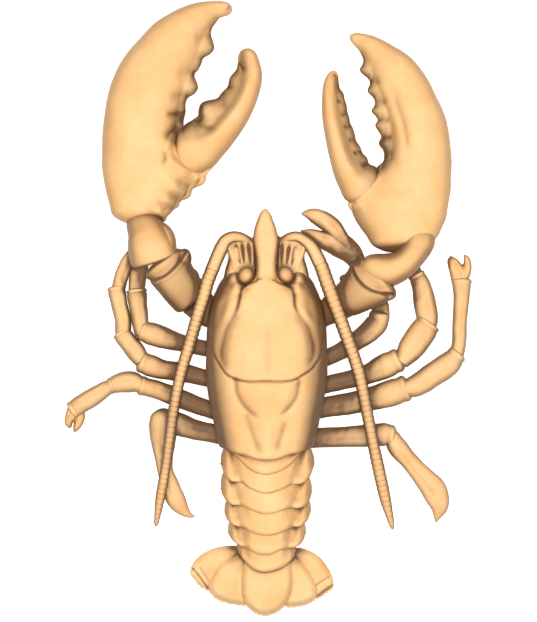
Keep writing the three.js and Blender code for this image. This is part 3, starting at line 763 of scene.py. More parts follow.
for name, (outline, bottom, fringe, rib) in BLADES.items():
    bm = bmesh.new()
    round_line = slab(bm, outline, 1.0, 2.0)
    blade = fused(bm, 0.5, 3)
    co, normal = points_of(blade), normals_of(blade)
    rim_line = np.vstack([round_line[:, :2], round_line[:1, :2]])
    inside = np.full(len(co), 1e9)
    for point in rim_line:
        inside = np.minimum(inside, np.hypot(co[:, 0] - point[0], co[:, 1] - point[1]))
    rib_far = from_line(co, rib, 30)[0]
    root = np.array(rib[0])
    run = np.hypot(co[:, 0] - root[0], co[:, 1] - root[1])
    upper = ramp(normal[:, 2], 0.0, 0.5)
    ray = np.arctan2(co[:, 0] - root[0], -(co[:, 1] - root[1]))
    lift = 2.9 * (1 - np.exp(-inside / 5)) + 0.25 * bell(rib_far, 2.4) * ramp(inside, 3, 9)
    lift += upper * 0.03 * np.sin(ray * 80) * ramp(run, 12, 24) + 0.15 * ripple(co, 10, 31)
    lift -= upper * 0.25 * bell(rib_far - 5, 2.6) * ramp(inside, 3, 8)
    for seam, depth in SUTURES.get(name, ()):
        far, side = from_line(co, seam)
        lift -= upper * depth * (bell(far, 0.7) + 0.5 * ramp(-side * far if name[0] == "l" else -side * far, -0.2,
            0.3) * bell(far, 3))
    co[:, 2] = co[:, 2] * (0.55 + 0.45 * ramp(inside, 0, 4)) + bottom + TILT * (co[:, 1] - FAN_END) + lift - 0.6
    co[:, 2] = np.maximum(co[:, 2], 0.1)
    move_points(blade, co)
    # The blade is paler at its tips and a deeper tint at its rim, with painted shade near its root under the last
    # ring.
    hand_over(
        f"{name}_blade", blade, SHELL, [name], pale=0.45 * ramp(run, run.max() - 9, run.max()),
        deep_tint_and_shade=0.2 * bell(inside, 1.6), painted_shade=0.3 * ramp(-run, -14, -2),
    )
    bm = bmesh.new()
    lo_share, hi_share = fringe
    marks = np.arange(lo_share, hi_share, 0.0042)
    ahead = along([(x, y, 0) for x, y in outline], marks + 0.003)
    here = along([(x, y, 0) for x, y in outline], marks)
    middle = round_line[:, :2].mean(0)
    for p, q in zip(here, ahead):
        way = (q - p)[:2]
        out = np.array([way[1], -way[0]]) / np.hypot(*way)
        if out @ (p[:2] - middle) < 0:
            out = -out
        out = out + rng.normal(0, 0.22, 2)
        length = rng.uniform(1.0, 2.1) * (0.5 if rng.rand() < 0.2 else 1)
        slant = Vector((out[0], out[1], -0.1)).normalized()
        turn = slant.to_track_quat("Z", "Y").to_matrix().to_4x4()
        z = bottom + TILT * (p[1] - FAN_END) + 0.7
        at = Vector((p[0], p[1], max(z, 0.5))) + slant * (length / 2 - 0.7)
        bmesh.ops.create_cone(
            bm, cap_ends=True, segments=4, radius1=0.3, radius2=0.07, depth=length,
            matrix=Matrix.Translation(at) @ turn
        )
    hand_over(f"{name}_fringe", plain(bm), HAIR)
print("fan:", sum(TALLY[k] for k in TALLY if "blade" in k or "fringe" in k), "triangles")

# %% [markdown]
# ## Claws
# The big claws are the show pieces, and they differ: a heavy crusher on the photograph's left, with blunt
# molar-like teeth, and a slimmer cutter on its right, with a row of small pointed teeth. Each palm is a
# limb. Its rows of teeth and knuckles are outlines drawn as seen from above, made into slabs and fused on.
# The skin on the mouth's side of a ridge is lowered to meet the teeth, and heights near them then settle
# into one slope. The movable finger is made the same way and set into the palm's socket.

# %% Claw forms
CLAWS = {
    "left": {
        "palm": [
            (-81, 54, 27, 14, 9), (-80.3, 60.5, 25.5, 18.4, 12), (-78.6, 66.5, 24, 21.4, 14),
            (-77, 73, 22.5, 24.8, 15.4), (-75, 82, 20.8, 28.8, 16.8),
            (-75.3, 92.5, 19.3, 29.9, 18), (-78, 102, 18.6, 27.2, 18.4), (-79.3, 111, 18.4, 25.8, 18.4),
            (-79.3, 121, 18, 24.6, 18), (-77, 134, 17.5, 24.4, 17.3),
            (-72.4, 148, 17, 23, 16.5), (-64.4, 161.5, 16, 20.5, 15), (-56.3, 173.5, 15.5, 17.2, 13),
            (-47.6, 183.3, 15, 12, 10), (-38.5, 189, 14, 8.2, 7.5),
            (-30.5, 191.8, 13, 5.4, 5.8), (-21.6, 191.6, 12.5, 3.8, 4.4),
        ],
        "level": 0.34,
        "edge": [
            (-31.4, 184.6), (-32.6, 183), (-34.9, 179.8), (-35.6, 175.4), (-34.3, 170.9), (-33.5, 167),
            (-36.2, 163.2), (-40.7, 160.6),
            (-42, 156.8), (-43.9, 153), (-46.4, 149.8), (-45.2, 145.9), (-43.9, 142.1), (-45.8, 138.2),
            (-50.3, 135), (-52, 131.8), (-51.9, 126.4),
            (-53.2, 121), (-53.8, 115.8), (-60, 110), (-70, 120), (-68, 145), (-57, 162), (-44, 176), (-36, 183.5),
            (-31.4, 184.6),
        ],
        "edge_at": (18.5, 14), "knuckle_at": (21.5, 13),
        "knuckle_edge": [
            (-34.5, 90), (-38.6, 86), (-39.6, 81), (-44, 78.6), (-48.2, 76.4), (-48.6, 72.6), (-51.6, 70.6),
            (-55.6, 69.2), (-56.2, 65.8), (-60, 63.6),
            (-63, 61.6), (-64.2, 57.6), (-67.4, 55), (-72, 60), (-66, 74), (-56, 86), (-46, 94), (-34.5, 90),
        ],
        "knuckles": [
            [(-60, 90.5, 31.5, 4, 3.4), (-51, 85.6, 30.5, 4.4, 4.6), (-43.4, 81.8, 23.5, 4, 5.4)],
            [(-64, 81, 33.2, 3.6, 3), (-57, 76.6, 32, 3.8, 4.2), (-52, 73.6, 25.5, 3.6, 5)],
            [(-68, 72.4, 34, 3.2, 3), (-62.6, 69, 32.6, 3.6, 4), (-59, 66.4, 26.5, 3.4, 5)],
            [(-72, 64.4, 34, 3, 3), (-68, 61, 32.4, 3, 4), (-66, 58.4, 27, 2.8, 4.4)],
        ],
        "ridge": [(-28, 190), (-37, 180), (-44, 167.5), (-49.8, 153), (-55, 138.5), (-59.5, 124), (-63.5, 110),
        (-66, 98)],
        "flank": 1, "fall": 6.5, "reach": 10, "mouth": 1, "lip": 18, "cut": 0.9,
        "shades": [([(-52, 128), (-57, 117), (-63, 105)], 0.34, 5),
        ([(-51, 124.8), (-58, 124.6), (-65, 124)], 0.25, 2.2), ([(-63.6, 101), (-65, 96), (-66.8, 92)], 0.22, 1.7),
        ([(-42, 84), (-54, 72), (-64, 61)], 0.2, 6)],
        "finger": [
            (-60.5, 99.5, 20, 5, 6), (-56.5, 99.5, 20.5, 12.6, 10.5), (-48, 101.4, 21, 15.9, 12.8),
            (-38, 109.3, 20, 14.9, 12.6), (-28.6, 119, 18.5, 13.3, 12),
            (-20.6, 128.7, 17.5, 11.4, 11), (-14.6, 139, 16.5, 9.8, 9.5), (-11.3, 150, 15.5, 8.3, 8.4),
            (-11.7, 158.6, 14.5, 6.7, 7),
            (-13.4, 166.8, 14, 4.7, 4.8),
        ],
        "finger_edge": [
            (-15.5, 154), (-17.8, 156.6), (-17.9, 155.2), (-19.6, 152.3), (-23.2, 147.8), (-24.6, 142.1),
            (-28.4, 138.2), (-31.2, 134.6),
            (-37.6, 133.2), (-41.6, 131.4), (-43.2, 127), (-43.8, 121.2), (-47.9, 120.2), (-51.2, 118.2),
            (-54, 115.2), (-52, 104), (-42, 108), (-32, 120),
            (-22, 133), (-15, 148), (-15.5, 154),
        ],
        "finger_teeth": [(-37, 126.4, 18.5, 5.4, 6, 6, 0)],
        "finger_dips": [([(-44.5, 121.6), (-38, 117.5), (-31, 116)], 1.4, 3),
        ([(-29, 139), (-27, 130), (-24, 127)], 1.2, 2.6), ([(-25.5, 145), (-21, 140)], 0.9, 2.2)],
        "finger_ridge": [(-13, 167), (-10.2, 153), (-12.5, 141.4), (-17.5, 131), (-25, 120.5), (-34, 110.5),
        (-43, 105), (-52, 104)],
        "finger_flank": -1,
        "wrist": [(-80, 60, 22, 8, 7), (-79.6, 55, 25, 9.8, 10.5), (-76.3, 47.6, 29, 12.9, 14),
        (-74.2, 40.6, 30.8, 14.9, 15.2), (-72.2, 34.4, 30.5, 15.6, 14.8), (-70.6, 29.4, 30, 15.2, 14)],
        "wrist_knobs": [[(-70, 55, 31, 3, 5), (-64.5, 47, 32, 5.6, 8), (-63, 40.5, 32, 5.6, 9),
        (-64, 33, 31, 4, 7)]],
        "arm": [(-66.8, 31.6, 27, 13.5, 12), (-63.8, 27.4, 28, 14.6, 13.6), (-57.4, 18, 28, 13.4, 14),
        (-51, 9.6, 26.5, 12.9, 12.8), (-46.4, 4.6, 25, 12, 11.5)],
        "arm_knobs": [[(-56, 26, 32, 6, 7), (-52.6, 33, 33, 5, 5.4), (-52, 39, 33, 2.8, 3)],
        [(-50.5, 14, 31, 5.4, 6), (-46.4, 20.5, 31, 3.8, 4.2), (-45.6, 25.4, 31, 1.8, 2)]],
        "hip": [(-46, 6, 24, 11, 10), (-38.5, -1.5, 20, 9.5, 9), (-30, -7, 14, 7.5, 7)],
        "crease": [(-76, 17.5), (-72, 18.6), (-65.6, 21.2), (-58.6, 27.5), (-53.3, 34.6), (-51, 39)],
        "socket": [(-53.4, 115.8), (-57.6, 112), (-61, 106.4), (-62.6, 100.8), (-60, 95.6), (-55, 92), (-49, 89.4),
        (-44.5, 86.8), (-40, 84)],
        "grooves": [
            ([(-64, 103), (-64.2, 98.5), (-65, 94), (-67.6, 90)], 1.5, 1.9),
            ([(-52, 125), (-58, 124.8), (-66, 124.4)], 1.9, 2.4),
            ([(-47, 135.5), (-54.4, 136.4), (-63, 134)], 2.2, 2.8),
            ([(-42, 152), (-51, 151), (-60, 148)], 2.2, 4.0),
            ([(-34, 176), (-42, 173), (-48, 169)], 1.6, 3.2), ([(-54, 115.4), (-60, 113), (-66, 107)], 2.4, 2.6),
            ([(-46.5, 76.6), (-54, 80.6), (-62, 86)], 1.2, 2.1), ([(-54.5, 68.6), (-60, 72.6), (-66, 78)], 1.1, 2),
            ([(-62.4, 61.6), (-67, 66), (-71, 71)], 1, 1.9), ([(-37, 88.5), (-46, 91.5), (-54, 93)], 0.8, 1.8),
        ],
    },
    "right": {
        "palm": [
            (82, 36, 26, 12, 8.5), (86, 41.5, 26, 18.8, 11.2), (87, 47, 25.2, 22.8, 12.6),
            (86.3, 52, 24.4, 25.8, 13.6), (85.8, 57.6, 23.4, 28.8, 14.6),
            (85.2, 64.5, 22, 30.6, 15.6), (86.2, 70, 21, 30.4, 16.2), (88.8, 76, 19.8, 28.6, 16.6),
            (93.2, 84, 18.5, 24.8, 16.8), (97.2, 92, 17.8, 21, 16.5),
            (97, 102, 17.2, 20.8, 16.2), (95.6, 118, 16.5, 19.3, 15.5), (92, 130, 16, 17.3, 14.5),
            (87, 142, 15.5, 16.3, 13), (80.2, 153.5, 15, 13.9, 11),
            (72.5, 162.6, 14, 9.6, 8.5), (63.5, 169.6, 13, 6.3, 6), (53.2, 175.2, 12, 2.4, 3),
        ],
        "level": 0.40,
        "edge": [
            (60.4, 163.4), (62, 160), (61.4, 156.4), (59.4, 153.2), (61.8, 150), (64.8, 147.8), (66.4, 144.1),
            (65.4, 142), (64.6, 139.4),
            (67.9, 136), (69.7, 132.9), (69.3, 130), (67.2, 127), (69.6, 124), (71.7, 121), (69.8, 117.6),
            (72.2, 113.6), (74, 110.4), (72.2, 105.6),
            (75, 102), (75.6, 95.4), (73.6, 90), (71.6, 86.2), (82, 88), (87, 105), (85, 128), (78, 145), (69, 158),
            (64, 162.6), (60.4, 163.4),
        ],
        "edge_at": (17.5, 12.5), "knuckle_at": (21, 12),
        "knuckle_edge": [(52, 67), (53.6, 64.4), (57, 61), (61, 57), (72, 60), (72, 74), (62, 74), (55, 70),
        (52, 67)],
        "knuckles": [[(64, 66, 27, 4.6, 4), (58.6, 66.4, 24, 3.6, 4.4), (55.2, 65.6, 20, 2.6, 3.4)],
        [(68, 80, 28.5, 4, 3), (62, 73, 27.5, 4, 4), (56, 69.5, 23, 3, 3.4)]],
        "ridge": [(55, 173), (63.5, 162), (70.5, 150), (75.8, 137), (79.7, 126.1), (82.9, 114.6), (84.8, 101.8),
        (84.4, 92), (80.5, 84)],
        "flank": -1, "fall": 6, "reach": 8, "mouth": -1, "lip": 22, "cut": 2.2,
        "shades": [([(75, 112), (73.4, 98), (72, 88)], 0.3, 4.5),
        ([(81.5, 137), (86.4, 123), (89.4, 111.4), (90.6, 101.8)], 0.28, 1.4),
        ([(56, 66), (64, 52), (72, 42)], 0.18, 7)],
        "finger": [
            (66.5, 72.4, 20, 8, 8), (62.6, 77.4, 20.8, 13.4, 11.5), (55.6, 86.6, 20, 11.8, 11.6),
            (49.9, 98.5, 19, 9.6, 10.6),
            (46.6, 110, 18, 8.7, 10), (43.4, 123, 17, 7.4, 8.6), (42, 134.5, 16, 6.2, 7.3),
            (41.7, 144.5, 15, 4.6, 5.4),
            (43.4, 152.6, 14.5, 2.6, 3.2),
        ],
        "finger_edge": [
            (44, 150), (45.4, 148), (46, 144.6), (46.6, 141.4), (49.2, 137.7), (49.6, 134.6), (51, 130.2),
            (51.4, 126), (52.6, 122.6), (53, 119.6), (55.2, 115),
            (56.4, 111), (57, 107.6), (59.8, 103.6), (61, 100), (64.6, 95.6), (64.9, 92.6), (69, 91.2), (72.6, 86),
            (66, 80), (56, 92), (50, 106), (46, 122),
            (43, 140), (44, 150),
        ],
        "finger_teeth": [],
        "finger_dips": [([(48.6, 133.6), (44.6, 132.6)], 0.9, 1.6), ([(51.6, 125.4), (47, 124)], 1, 1.7),
        ([(53.8, 117.4), (49, 116)], 1.1, 1.8), ([(56.8, 109.4), (52, 107.6)], 1.1, 1.8),
        ([(60, 101.6), (55, 99)], 1.2, 2), ([(64, 93.6), (60, 91)], 1.2, 2.2)],
        "finger_ridge": [(43.6, 153), (41.6, 140), (42.6, 125), (45.8, 111), (50, 97), (56, 84), (60, 77)],
        "finger_flank": 1,
        "wrist": [
            (98.6, 50, 22, 8, 7), (98, 44.6, 26, 10, 10.5), (94.5, 36.8, 29, 9.1, 13), (87.4, 29, 30.5, 9.3, 14.5),
            (77, 24.9, 30.5, 10.5, 14.5),
            (67, 27, 30, 8.6, 12.5), (60, 29.6, 29, 5, 8),
        ],
        "wrist_knobs": [],
        "arm": [(72.5, 23, 28, 15.6, 12), (69, 19.8, 28.5, 17, 13.6), (60.5, 12.4, 27.5, 14.6, 13.6),
        (53.5, 7.2, 26, 12, 12.3), (48.5, 4.4, 24, 10.6, 11)],
        "arm_knobs": [[(73, 13, 31, 6.4, 6), (79, 9.6, 30, 5, 5), (83, 8, 30, 2.8, 3)],
        [(54, 18, 30, 4, 4.6), (49, 19.6, 29.6, 2.4, 3), (46.4, 19.6, 29.6, 1.2, 1.4)]],
        "hip": [(50, 5, 24, 11, 10), (42, 0, 20, 9, 9), (32, -6, 14, 7.5, 7)],
        "crease": [(52, 31), (53.4, 27.5), (56, 21.1), (60.5, 15.4), (66.2, 11.5), (73.9, 9.3), (84, 9)],
        "socket": [(74.5, 89.5), (69.4, 82.4), (64.2, 77.2), (59.4, 71.4), (53.6, 68.2), (50, 66)],
        "grooves": [
            ([(74, 151), (81.5, 137), (86.4, 123), (89.4, 111.4), (90.6, 101.8), (91.4, 92.2), (90, 80)], 1.8, 2.6),
            ([(65.5, 147.4), (74, 144)], 1.5, 2.2), ([(69.5, 133.4), (78, 131)], 1.6, 2.2),
            ([(71.5, 121.6), (80, 120)], 1.6, 2.2), ([(73.8, 110.6), (81, 109)], 1.6, 2.2),
            ([(75, 100), (83, 99)], 1.2, 2.6),
        ],
    },
}


def fall_away(bm, verts, line, flank, depth, reach):
    """Lowers the upper skin on one side of a line, so that a ridge is left standing along it."""
    bm.normal_update()
    co, tilt = np.array([v.co for v in verts]), np.array([v.normal.z for v in verts])
    far, side, share = measure(co, line, 50)
    drop = depth * ramp(far * side * flank, -1.0, reach) * ramp(tilt, -0.1, 0.35) * (1 - ramp(share, 0.72, 0.98))
    for v, down in zip(verts, drop):
        v.co.z -= down


def blade(bm, outline, z, thick):
    """Adds a slab that grows thinner towards its far end, as a finger does towards its tip."""
    earlier = set(bm.verts)
    slab(bm, outline, z, thick)
    tip = max(y for x, y in outline)
    for v in set(bm.verts) - earlier:
        v.co.z = z - 2.4 * float(ramp(v.co.y, tip - 45,
            tip)) + (v.co.z - z) * (1 - 0.62 * float(ramp(v.co.y, tip - 45, tip + 4)))


def melt(mesh, lines, reach, rounds):
    """Lets the heights near some lines settle into one soft slope, without moving the outline."""
    co, soft = points_of(mesh), averaged(mesh, rounds)
    near = np.min([measure(co, line, 90)[0] for line in lines], 0)
    share = bell(np.maximum(near - 0.7 * reach, 0), 0.6 * reach) * ramp(normals_of(mesh)[:, 2], -0.3, 0.2)
    co[:, 2] += share * (soft[:, 2] - co[:, 2])
    move_points(mesh, co)


for side_name, claw in CLAWS.items():
    bm = bmesh.new()
    verts = limb(bm, claw["palm"], 130, 84, caps=(0.05, 0.03), square=2.15, level=claw["level"])
    fall_away(bm, verts, claw["ridge"], claw["flank"], claw["fall"], claw["reach"])
    blade(bm, claw["edge"], *claw["edge_at"])
    slab(bm, claw["knuckle_edge"], *claw["knuckle_at"])
    palm = fused(bm, 0.72, 10)
    melt(palm, [claw["edge"][:claw["lip"]], claw["knuckle_edge"][:-5]], 9, 130)
    co, normal = points_of(palm), normals_of(palm)
    top = ramp(normal[:, 2], 0.0, 0.4)
    far, side, share = measure(co, claw["socket"], 50)
    within = far * side * claw["mouth"]
    lift = 0.25 + 0.3 * ripple(co, 34, 5) + 0.05 * ripple(co, 8, 6)
    lift -= top * claw["cut"] * ramp(within, 0.0, 3.4) * (1 - ramp(within, 18, 24)) * ramp(share, -0.001,
        0.1) * ramp(1 - share, -0.001, 0.1)
    lift += top * 0.5 * bell(within + 1.2, 1.2) * ramp(share, 0, 0.2)
    for line, depth, width in claw["grooves"]:
        lift -= top * valley(co, line, 0.62 * depth, width * 1.2, 0.25, 0.5)
    for ridge in claw["knuckles"]:
        lift += top * valley(co, [point[:2] for point in ridge], 1.2, 2.8, 0.5, 0.1)
    co = co + normal * lift[:, None]
    co[:, 2] = np.maximum(co[:, 2] - 3.2 * top * np.exp(-measure(co, claw["edge"][:claw["lip"]], 90)[0] / 2.4), 0.0)
    move_points(palm, co)
    crest, crest_side, share = measure(co, claw["ridge"], 50)
    flank = ramp(crest * crest_side * claw["flank"], 0, 7) * (crest < 24) * (1 - ramp(share, 0.75, 1))
    shade = 0.16 * flank + 0.22 * np.exp(-measure(co, claw["edge"][:claw["lip"]], 90)[0] / 3.2)
    for line, strength, width in claw["shades"]:
        far, side, share = measure(co, line)
        shade = shade + strength * bell(far, width) * ramp(share, -0.001, 0.15) * ramp(1 - share, -0.001, 0.15)
    hand_over(
        f"{side_name}_claw_palm_shell", palm, SHELL, [f"{side_name}_claw_palm"],
        pale=0.7 * ramp(-co[:, 2], -13, -3) + 0.25 * flank,
        deep_tint_and_shade=0.12 * ramp(co[:, 1], co[:, 1].max() - 26, co[:, 1].max() - 2) + 0.1 * ramp(ripple(co, 40, 9), 0.0,
        0.9),
        painted_shade=shade, wide=40, sides=0.38,
    )
    bm = bmesh.new()
    blade(bm, claw["finger_edge"], 17, 11)
    verts = limb(bm, claw["finger"], 90, 60, caps=(0.06, 0.05), square=2.1)
    fall_away(bm, verts, claw["finger_ridge"], claw["finger_flank"], 5.5, 7)
    for tooth in claw["finger_teeth"]:
        lump(bm, *tooth)
    finger = fused(bm, 0.6, 8)
    melt(finger, [claw["finger_edge"][:-6]], 7, 110)
    co, normal = points_of(finger), normals_of(finger)
    top = ramp(normal[:, 2], 0.0, 0.4)
    lift = 0.35 + 0.15 * ripple(co, 18, 7)
    for line, depth, width in claw["finger_dips"]:
        lift -= top * valley(co, line, 0.8 * depth, width, 0.1, 0.5)
    co = co + normal * lift[:, None]
    co[:, 2] -= 2.6 * top * np.exp(-measure(co, claw["finger_edge"][:-6], 90)[0] / 2.2)
    move_points(finger, co)
    crest, crest_side = from_line(co, claw["finger_ridge"], 50)
    flank = ramp(crest * crest_side * claw["finger_flank"], 0, 5)
    # Painted shade on the finger's flank and along its teeth; the flank is also painted paler.
    hand_over(
        f"{side_name}_claw_finger_shell", finger, SHELL, [f"{side_name}_claw_finger"],
        pale=0.6 * ramp(-co[:, 2], -12, -5) + 0.2 * flank,
        deep_tint_and_shade=0.14 * ramp(co[:, 1], co[:, 1].max() - 26, co[:, 1].max() - 3) + 0.04,
        painted_shade=0.2 * flank + 0.15 * np.exp(-measure(co, claw["finger_edge"][:-6], 90)[0] / 2.5), wide=40,
        sides=0.42,
    )
    for part, knobs in (("wrist", claw["wrist_knobs"]), ("arm", claw["arm_knobs"]), ("hip", ())):
        bm = bmesh.new()
        rim = {"wrist": [(0.965, 0.03, 0.05)], "arm": [(0.12, 0.03, 0.05), (0.2, 0.035, -0.05)], "hip": []}[part]
        ends = (0.12, 0.09) if part == "wrist" else (0.05, 0.1)
        limb(bm, claw[part], 60, 52, caps=ends, square=2.3, flares=rim)
        for knob in knobs:
            limb(bm, knob, 24, 18, caps=(0.2, 0.3))
        mesh = fused(bm, 0.6, 5)
        co, normal = points_of(mesh), normals_of(mesh)
        lift, shade = 0.25 * ripple(co, 16, 8), {"wrist": 0.06, "arm": 0.2, "hip": 0.4}[part] + 0 * co[:, 0]
        if part == "arm":
            far, side = from_line(co, claw["crease"])
            lift += ramp(normal[:, 2], 0, 0.4) * (0.6 * bell(far + 2.4 * side * claw["flank"],
                1.2) - 0.9 * bell(far, 1.1))
            shade += 0.25 * (1 - ramp(np.abs(co[:, 0]), 48, 72)) + 0.3 * bell(far, 1.0)
        move_points(mesh, co + normal * lift[:, None])
        hand_over(
            f"{side_name}_claw_{part}_shell", mesh, SHELL, [f"{side_name}_claw_{part}"],
            pale=0.7 * ramp(-co[:, 2], -22, -12),
            painted_shade=shade,
        )
print("claws:", sum(TALLY[k] for k in TALLY if "claw" in k), "triangles")

# %% [markdown]
# ## Walking legs
# Eight thin legs in jointed tubes. Each joint of a leg starts slim inside the flared rim of the one
# before, so it is a limb with a swelling just before its far end. A band of pale skin shows in each joint.

# %% Walking legs
LEGS = {
    "left_leg_1": {
        "upper": [(-20, -28, 8, 4.4, 4.4), (-38.5, -25.5, 9, 4.7, 5), (-52.2, -22.3, 11, 5, 6),
        (-61.1, -19.9, 12.4, 6.1, 6.6), (-69, -17.4, 13, 7, 7), (-76.5, -14.9, 13.6, 6.8, 7),
        (-81, -13.2, 14, 5.6, 6.5)],
        "knee": [(-79.5, -17, 14, 4.4, 6.5), (-80.6, -10, 13, 5, 6.6), (-82.2, 2, 10.4, 5.6, 6.4),
        (-83.2, 11.4, 8.6, 6, 5.8)],
        "lower": [(-83.4, 9.5, 8, 4.8, 5), (-82.6, 18.5, 7, 5.3, 4.6), (-80.5, 30, 5.5, 4.6, 3.6),
        (-77.6, 41.5, 4, 1.8, 2)]},
    "left_leg_2": {
        "upper": [(-20, -49.5, 8, 4.4, 4.4), (-38, -44.6, 9, 5, 5), (-57.5, -40, 11, 5.8, 6),
        (-66.2, -38.8, 12, 5.9, 6.4), (-74, -36.4, 13, 6.8, 6.6), (-81, -33.4, 13.6, 6, 6.5)],
        "knee": [(-80, -33.5, 13.6, 4.8, 6), (-82.6, -29, 13.2, 5.8, 6.5), (-87.6, -22.4, 12, 5.8, 6.5),
        (-93, -15.4, 11, 5.4, 6)],
        "lower": [(-92, -18, 11, 4.6, 5.5), (-92, -7, 10, 5, 5.5), (-94.4, 3, 8, 5, 5.5), (-96.2, 13.4, 7, 5.3, 5)],
        "toe": [(-95.3, 11, 7, 4, 4.5), (-92.8, 21, 6.5, 4.2, 4), (-89.3, 30, 5.5, 4, 3.5),
        (-84, 40.5, 4, 1.6, 2)]},
    "left_leg_3": {
        "upper": [(-18, -70, 8, 4.4, 4.4), (-35, -65, 9, 5, 5), (-56.5, -57, 11, 5.8, 6),
        (-71.5, -51.4, 12, 5.6, 6), (-81.4, -48.8, 13, 5.4, 6)],
        "knee": [(-78.5, -49.9, 13, 4.2, 5.5), (-86, -46.8, 13, 6.5, 6.5), (-94, -47.4, 12.5, 6, 6),
        (-99.4, -49.2, 12, 4.8, 5.2)],
        "lower": [(-97, -48.8, 12, 3.8, 5), (-102.4, -50.8, 11, 4.6, 5.4), (-109.2, -55.2, 9, 5.5, 5.5),
        (-118.2, -60.7, 7.4, 5.6, 5.4), (-124.2, -64.8, 6, 5.2, 5)],
        "toe": [(-122, -62.5, 6, 4, 4), (-125, -68, 5, 3.7, 4), (-126.8, -72.5, 4, 2.4, 3),
        (-125.6, -76.6, 3, 1, 1.4)]},
    "left_leg_4": {
        "upper": [(-17, -84, 8, 5.4, 5), (-36.2, -79.4, 8.5, 5.8, 5), (-47, -77, 9, 6.2, 5.5),
        (-56, -73.8, 9.5, 7, 6), (-61.5, -71.2, 9.8, 6.4, 5.8), (-65.5, -70, 9.4, 5, 5)],
        "toe": [(-65.6, -65, 10, 7, 5.5), (-66.2, -71.5, 9.8, 8.8, 6.2), (-66.2, -78, 9, 8.7, 6),
        (-66, -88.3, 7, 7.1, 5), (-65.7, -96.6, 6.4, 5.4, 4.4), (-65, -103, 6, 4.8, 4),
                (-61.8, -113.3, 5.5, 5.7, 4), (-58, -122.2, 5, 5.8, 3.5), (-53.8, -128.3, 4, 4.2, 3),
                (-49.6, -132, 3.4, 2.4, 2.2), (-45.6, -133.4, 3, 1.1, 1.4)]},
    "right_leg_1": {
        "upper": [(21, -36, 8, 4.4, 4.4), (40.5, -30.5, 9, 5, 5), (58, -20.2, 11, 5.8, 6),
        (66.5, -13.8, 12, 6.8, 6.5), (71.6, -7.4, 12, 6.8, 6.4), (72.4, -2.4, 12, 5.6, 6)],
        "knee": [(73.4, -8.5, 11, 5, 5), (72.6, 2, 8.5, 5.4, 5), (66, 14.5, 7, 5, 4.6), (58.5, 27.5, 7, 4.8, 4.6)],
        "pincer": [(60.5, 26, 7, 4.4, 4.5), (53.5, 36.4, 8, 7, 5), (45, 42, 9, 7.8, 5.5),
        (35.5, 44.6, 9.5, 5.4, 4.5), (28, 47.9, 9.5, 3.4, 3.5), (21.5, 50.4, 9.5, 1.0, 1.4)],
        "toe": [(56, 35, 9, 3, 3.5), (48, 45, 10, 4.8, 4.6), (41.8, 53, 11, 5.6, 5), (34.4, 58, 11.5, 5.2, 4.6),
        (28, 60.6, 11.5, 3.7, 3.6), (22.4, 61.2, 11.5, 1.6, 1.8)]},
    "right_leg_2": {
        "upper": [(21, -54, 8, 4.4, 4.4), (40.5, -48, 9, 5.2, 5), (64.3, -42, 11, 6, 6), (77.6, -35.8, 13, 7.8, 7),
        (85.6, -32, 14, 6.8, 6.5)],
        "knee": [(86, -34.5, 14, 5, 6.5), (91.6, -26.4, 13, 7.8, 7), (97.8, -17.6, 12, 8.6, 7),
        (103.6, -9.4, 11, 7.6, 6.5)],
        "lower": [(102.6, -13, 11, 6, 6), (102.8, -4.6, 9.5, 6.8, 6.5), (101.2, 5, 8, 6.9, 6),
        (98.8, 16, 7.4, 5.8, 5.4), (96, 22, 7, 5, 5)],
        "toe": [(97.5, 18, 7, 4, 4.5), (93, 28, 6, 4, 4), (88, 38, 5, 3, 3.5), (83.5, 46.5, 4, 1.4, 1.8)]},
    "right_leg_3": {
        "upper": [(20, -68.4, 8, 4.8, 4.4), (38, -63, 9, 6.2, 5), (54, -60.4, 10, 6.8, 5.6),
        (67.5, -57.4, 11, 7.3, 6.5), (80.3, -53.8, 13, 8.3, 7), (90.6, -50.2, 14, 7.4, 6.5)],
        "knee": [(88, -51.4, 14, 5.5, 6.5), (95.4, -49.2, 14, 6.8, 7), (107, -41.8, 13, 7.5, 7),
        (117, -34.8, 12.4, 7.4, 6.6), (122.4, -28.6, 12, 5.6, 6)],
        "lower": [(119, -35, 12, 4.5, 5.5), (122.8, -25, 11, 4.4, 5.5), (123.8, -8.7, 9, 4.3, 5), (125, 9, 7, 5, 5),
        (125.1, 18.6, 6, 5.8, 4.6)],
        "pincer": [(124.6, 15.5, 6, 5, 4), (123.2, 22, 5.5, 5.4, 4), (120.4, 28, 5, 4, 3.6),
        (118.4, 32.4, 4.5, 2.4, 2.2), (118, 34.2, 4.3, 1.2, 1.4)]},
    "right_leg_4": {
        "upper": [(18, -84, 8, 5.4, 5), (33, -82.6, 8.5, 6.1, 5), (51.5, -81.9, 9, 6.3, 5.3),
        (70.7, -80.8, 9.4, 7.1, 6), (77, -80.4, 9.8, 7, 6), (82, -81.2, 10, 5.4, 6)],
        "toe": [(79, -78.5, 10, 4.5, 5.5), (83, -87, 9.5, 6, 5.5), (92, -97.8, 7, 5.5, 4.5),
        (100.2, -107.4, 6, 6.4, 4), (107.6, -116.4, 5.5, 7.8, 4),
                (110.6, -125.4, 5, 6.2, 3.5), (108.6, -137, 3.5, 1.4, 1.6)]},
}
SECOND_FINGERS = {
    "right_leg_3_pincer": [(126.2, 19, 5.5, 3.6, 3.6), (128.8, 27, 5.2, 2.8, 3.2), (127.8, 33, 4.6, 1.8, 2.2),
    (126.4, 35, 4.4, 0.8, 1.2)],
    "left_leg_3_toe": [(-119.8, -64, 5.5, 3.4, 3.6), (-119.8, -71, 4.6, 3.2, 3.2), (-121.8, -75.8, 4, 2.2, 2.6),
    (-123.6, -79.4, 3, 0.8, 1.3)],
}


def reaching(inner, end):
    """A station 1.6 mm beyond an end, a little slimmer, so that neighbouring pieces overlap."""
    way = np.array(end[:3]) - np.array(inner[:3])
    return (*(np.array(end[:3]) + 1.6 * way / np.linalg.norm(way)), end[3] * 0.94, end[4] * 0.94)


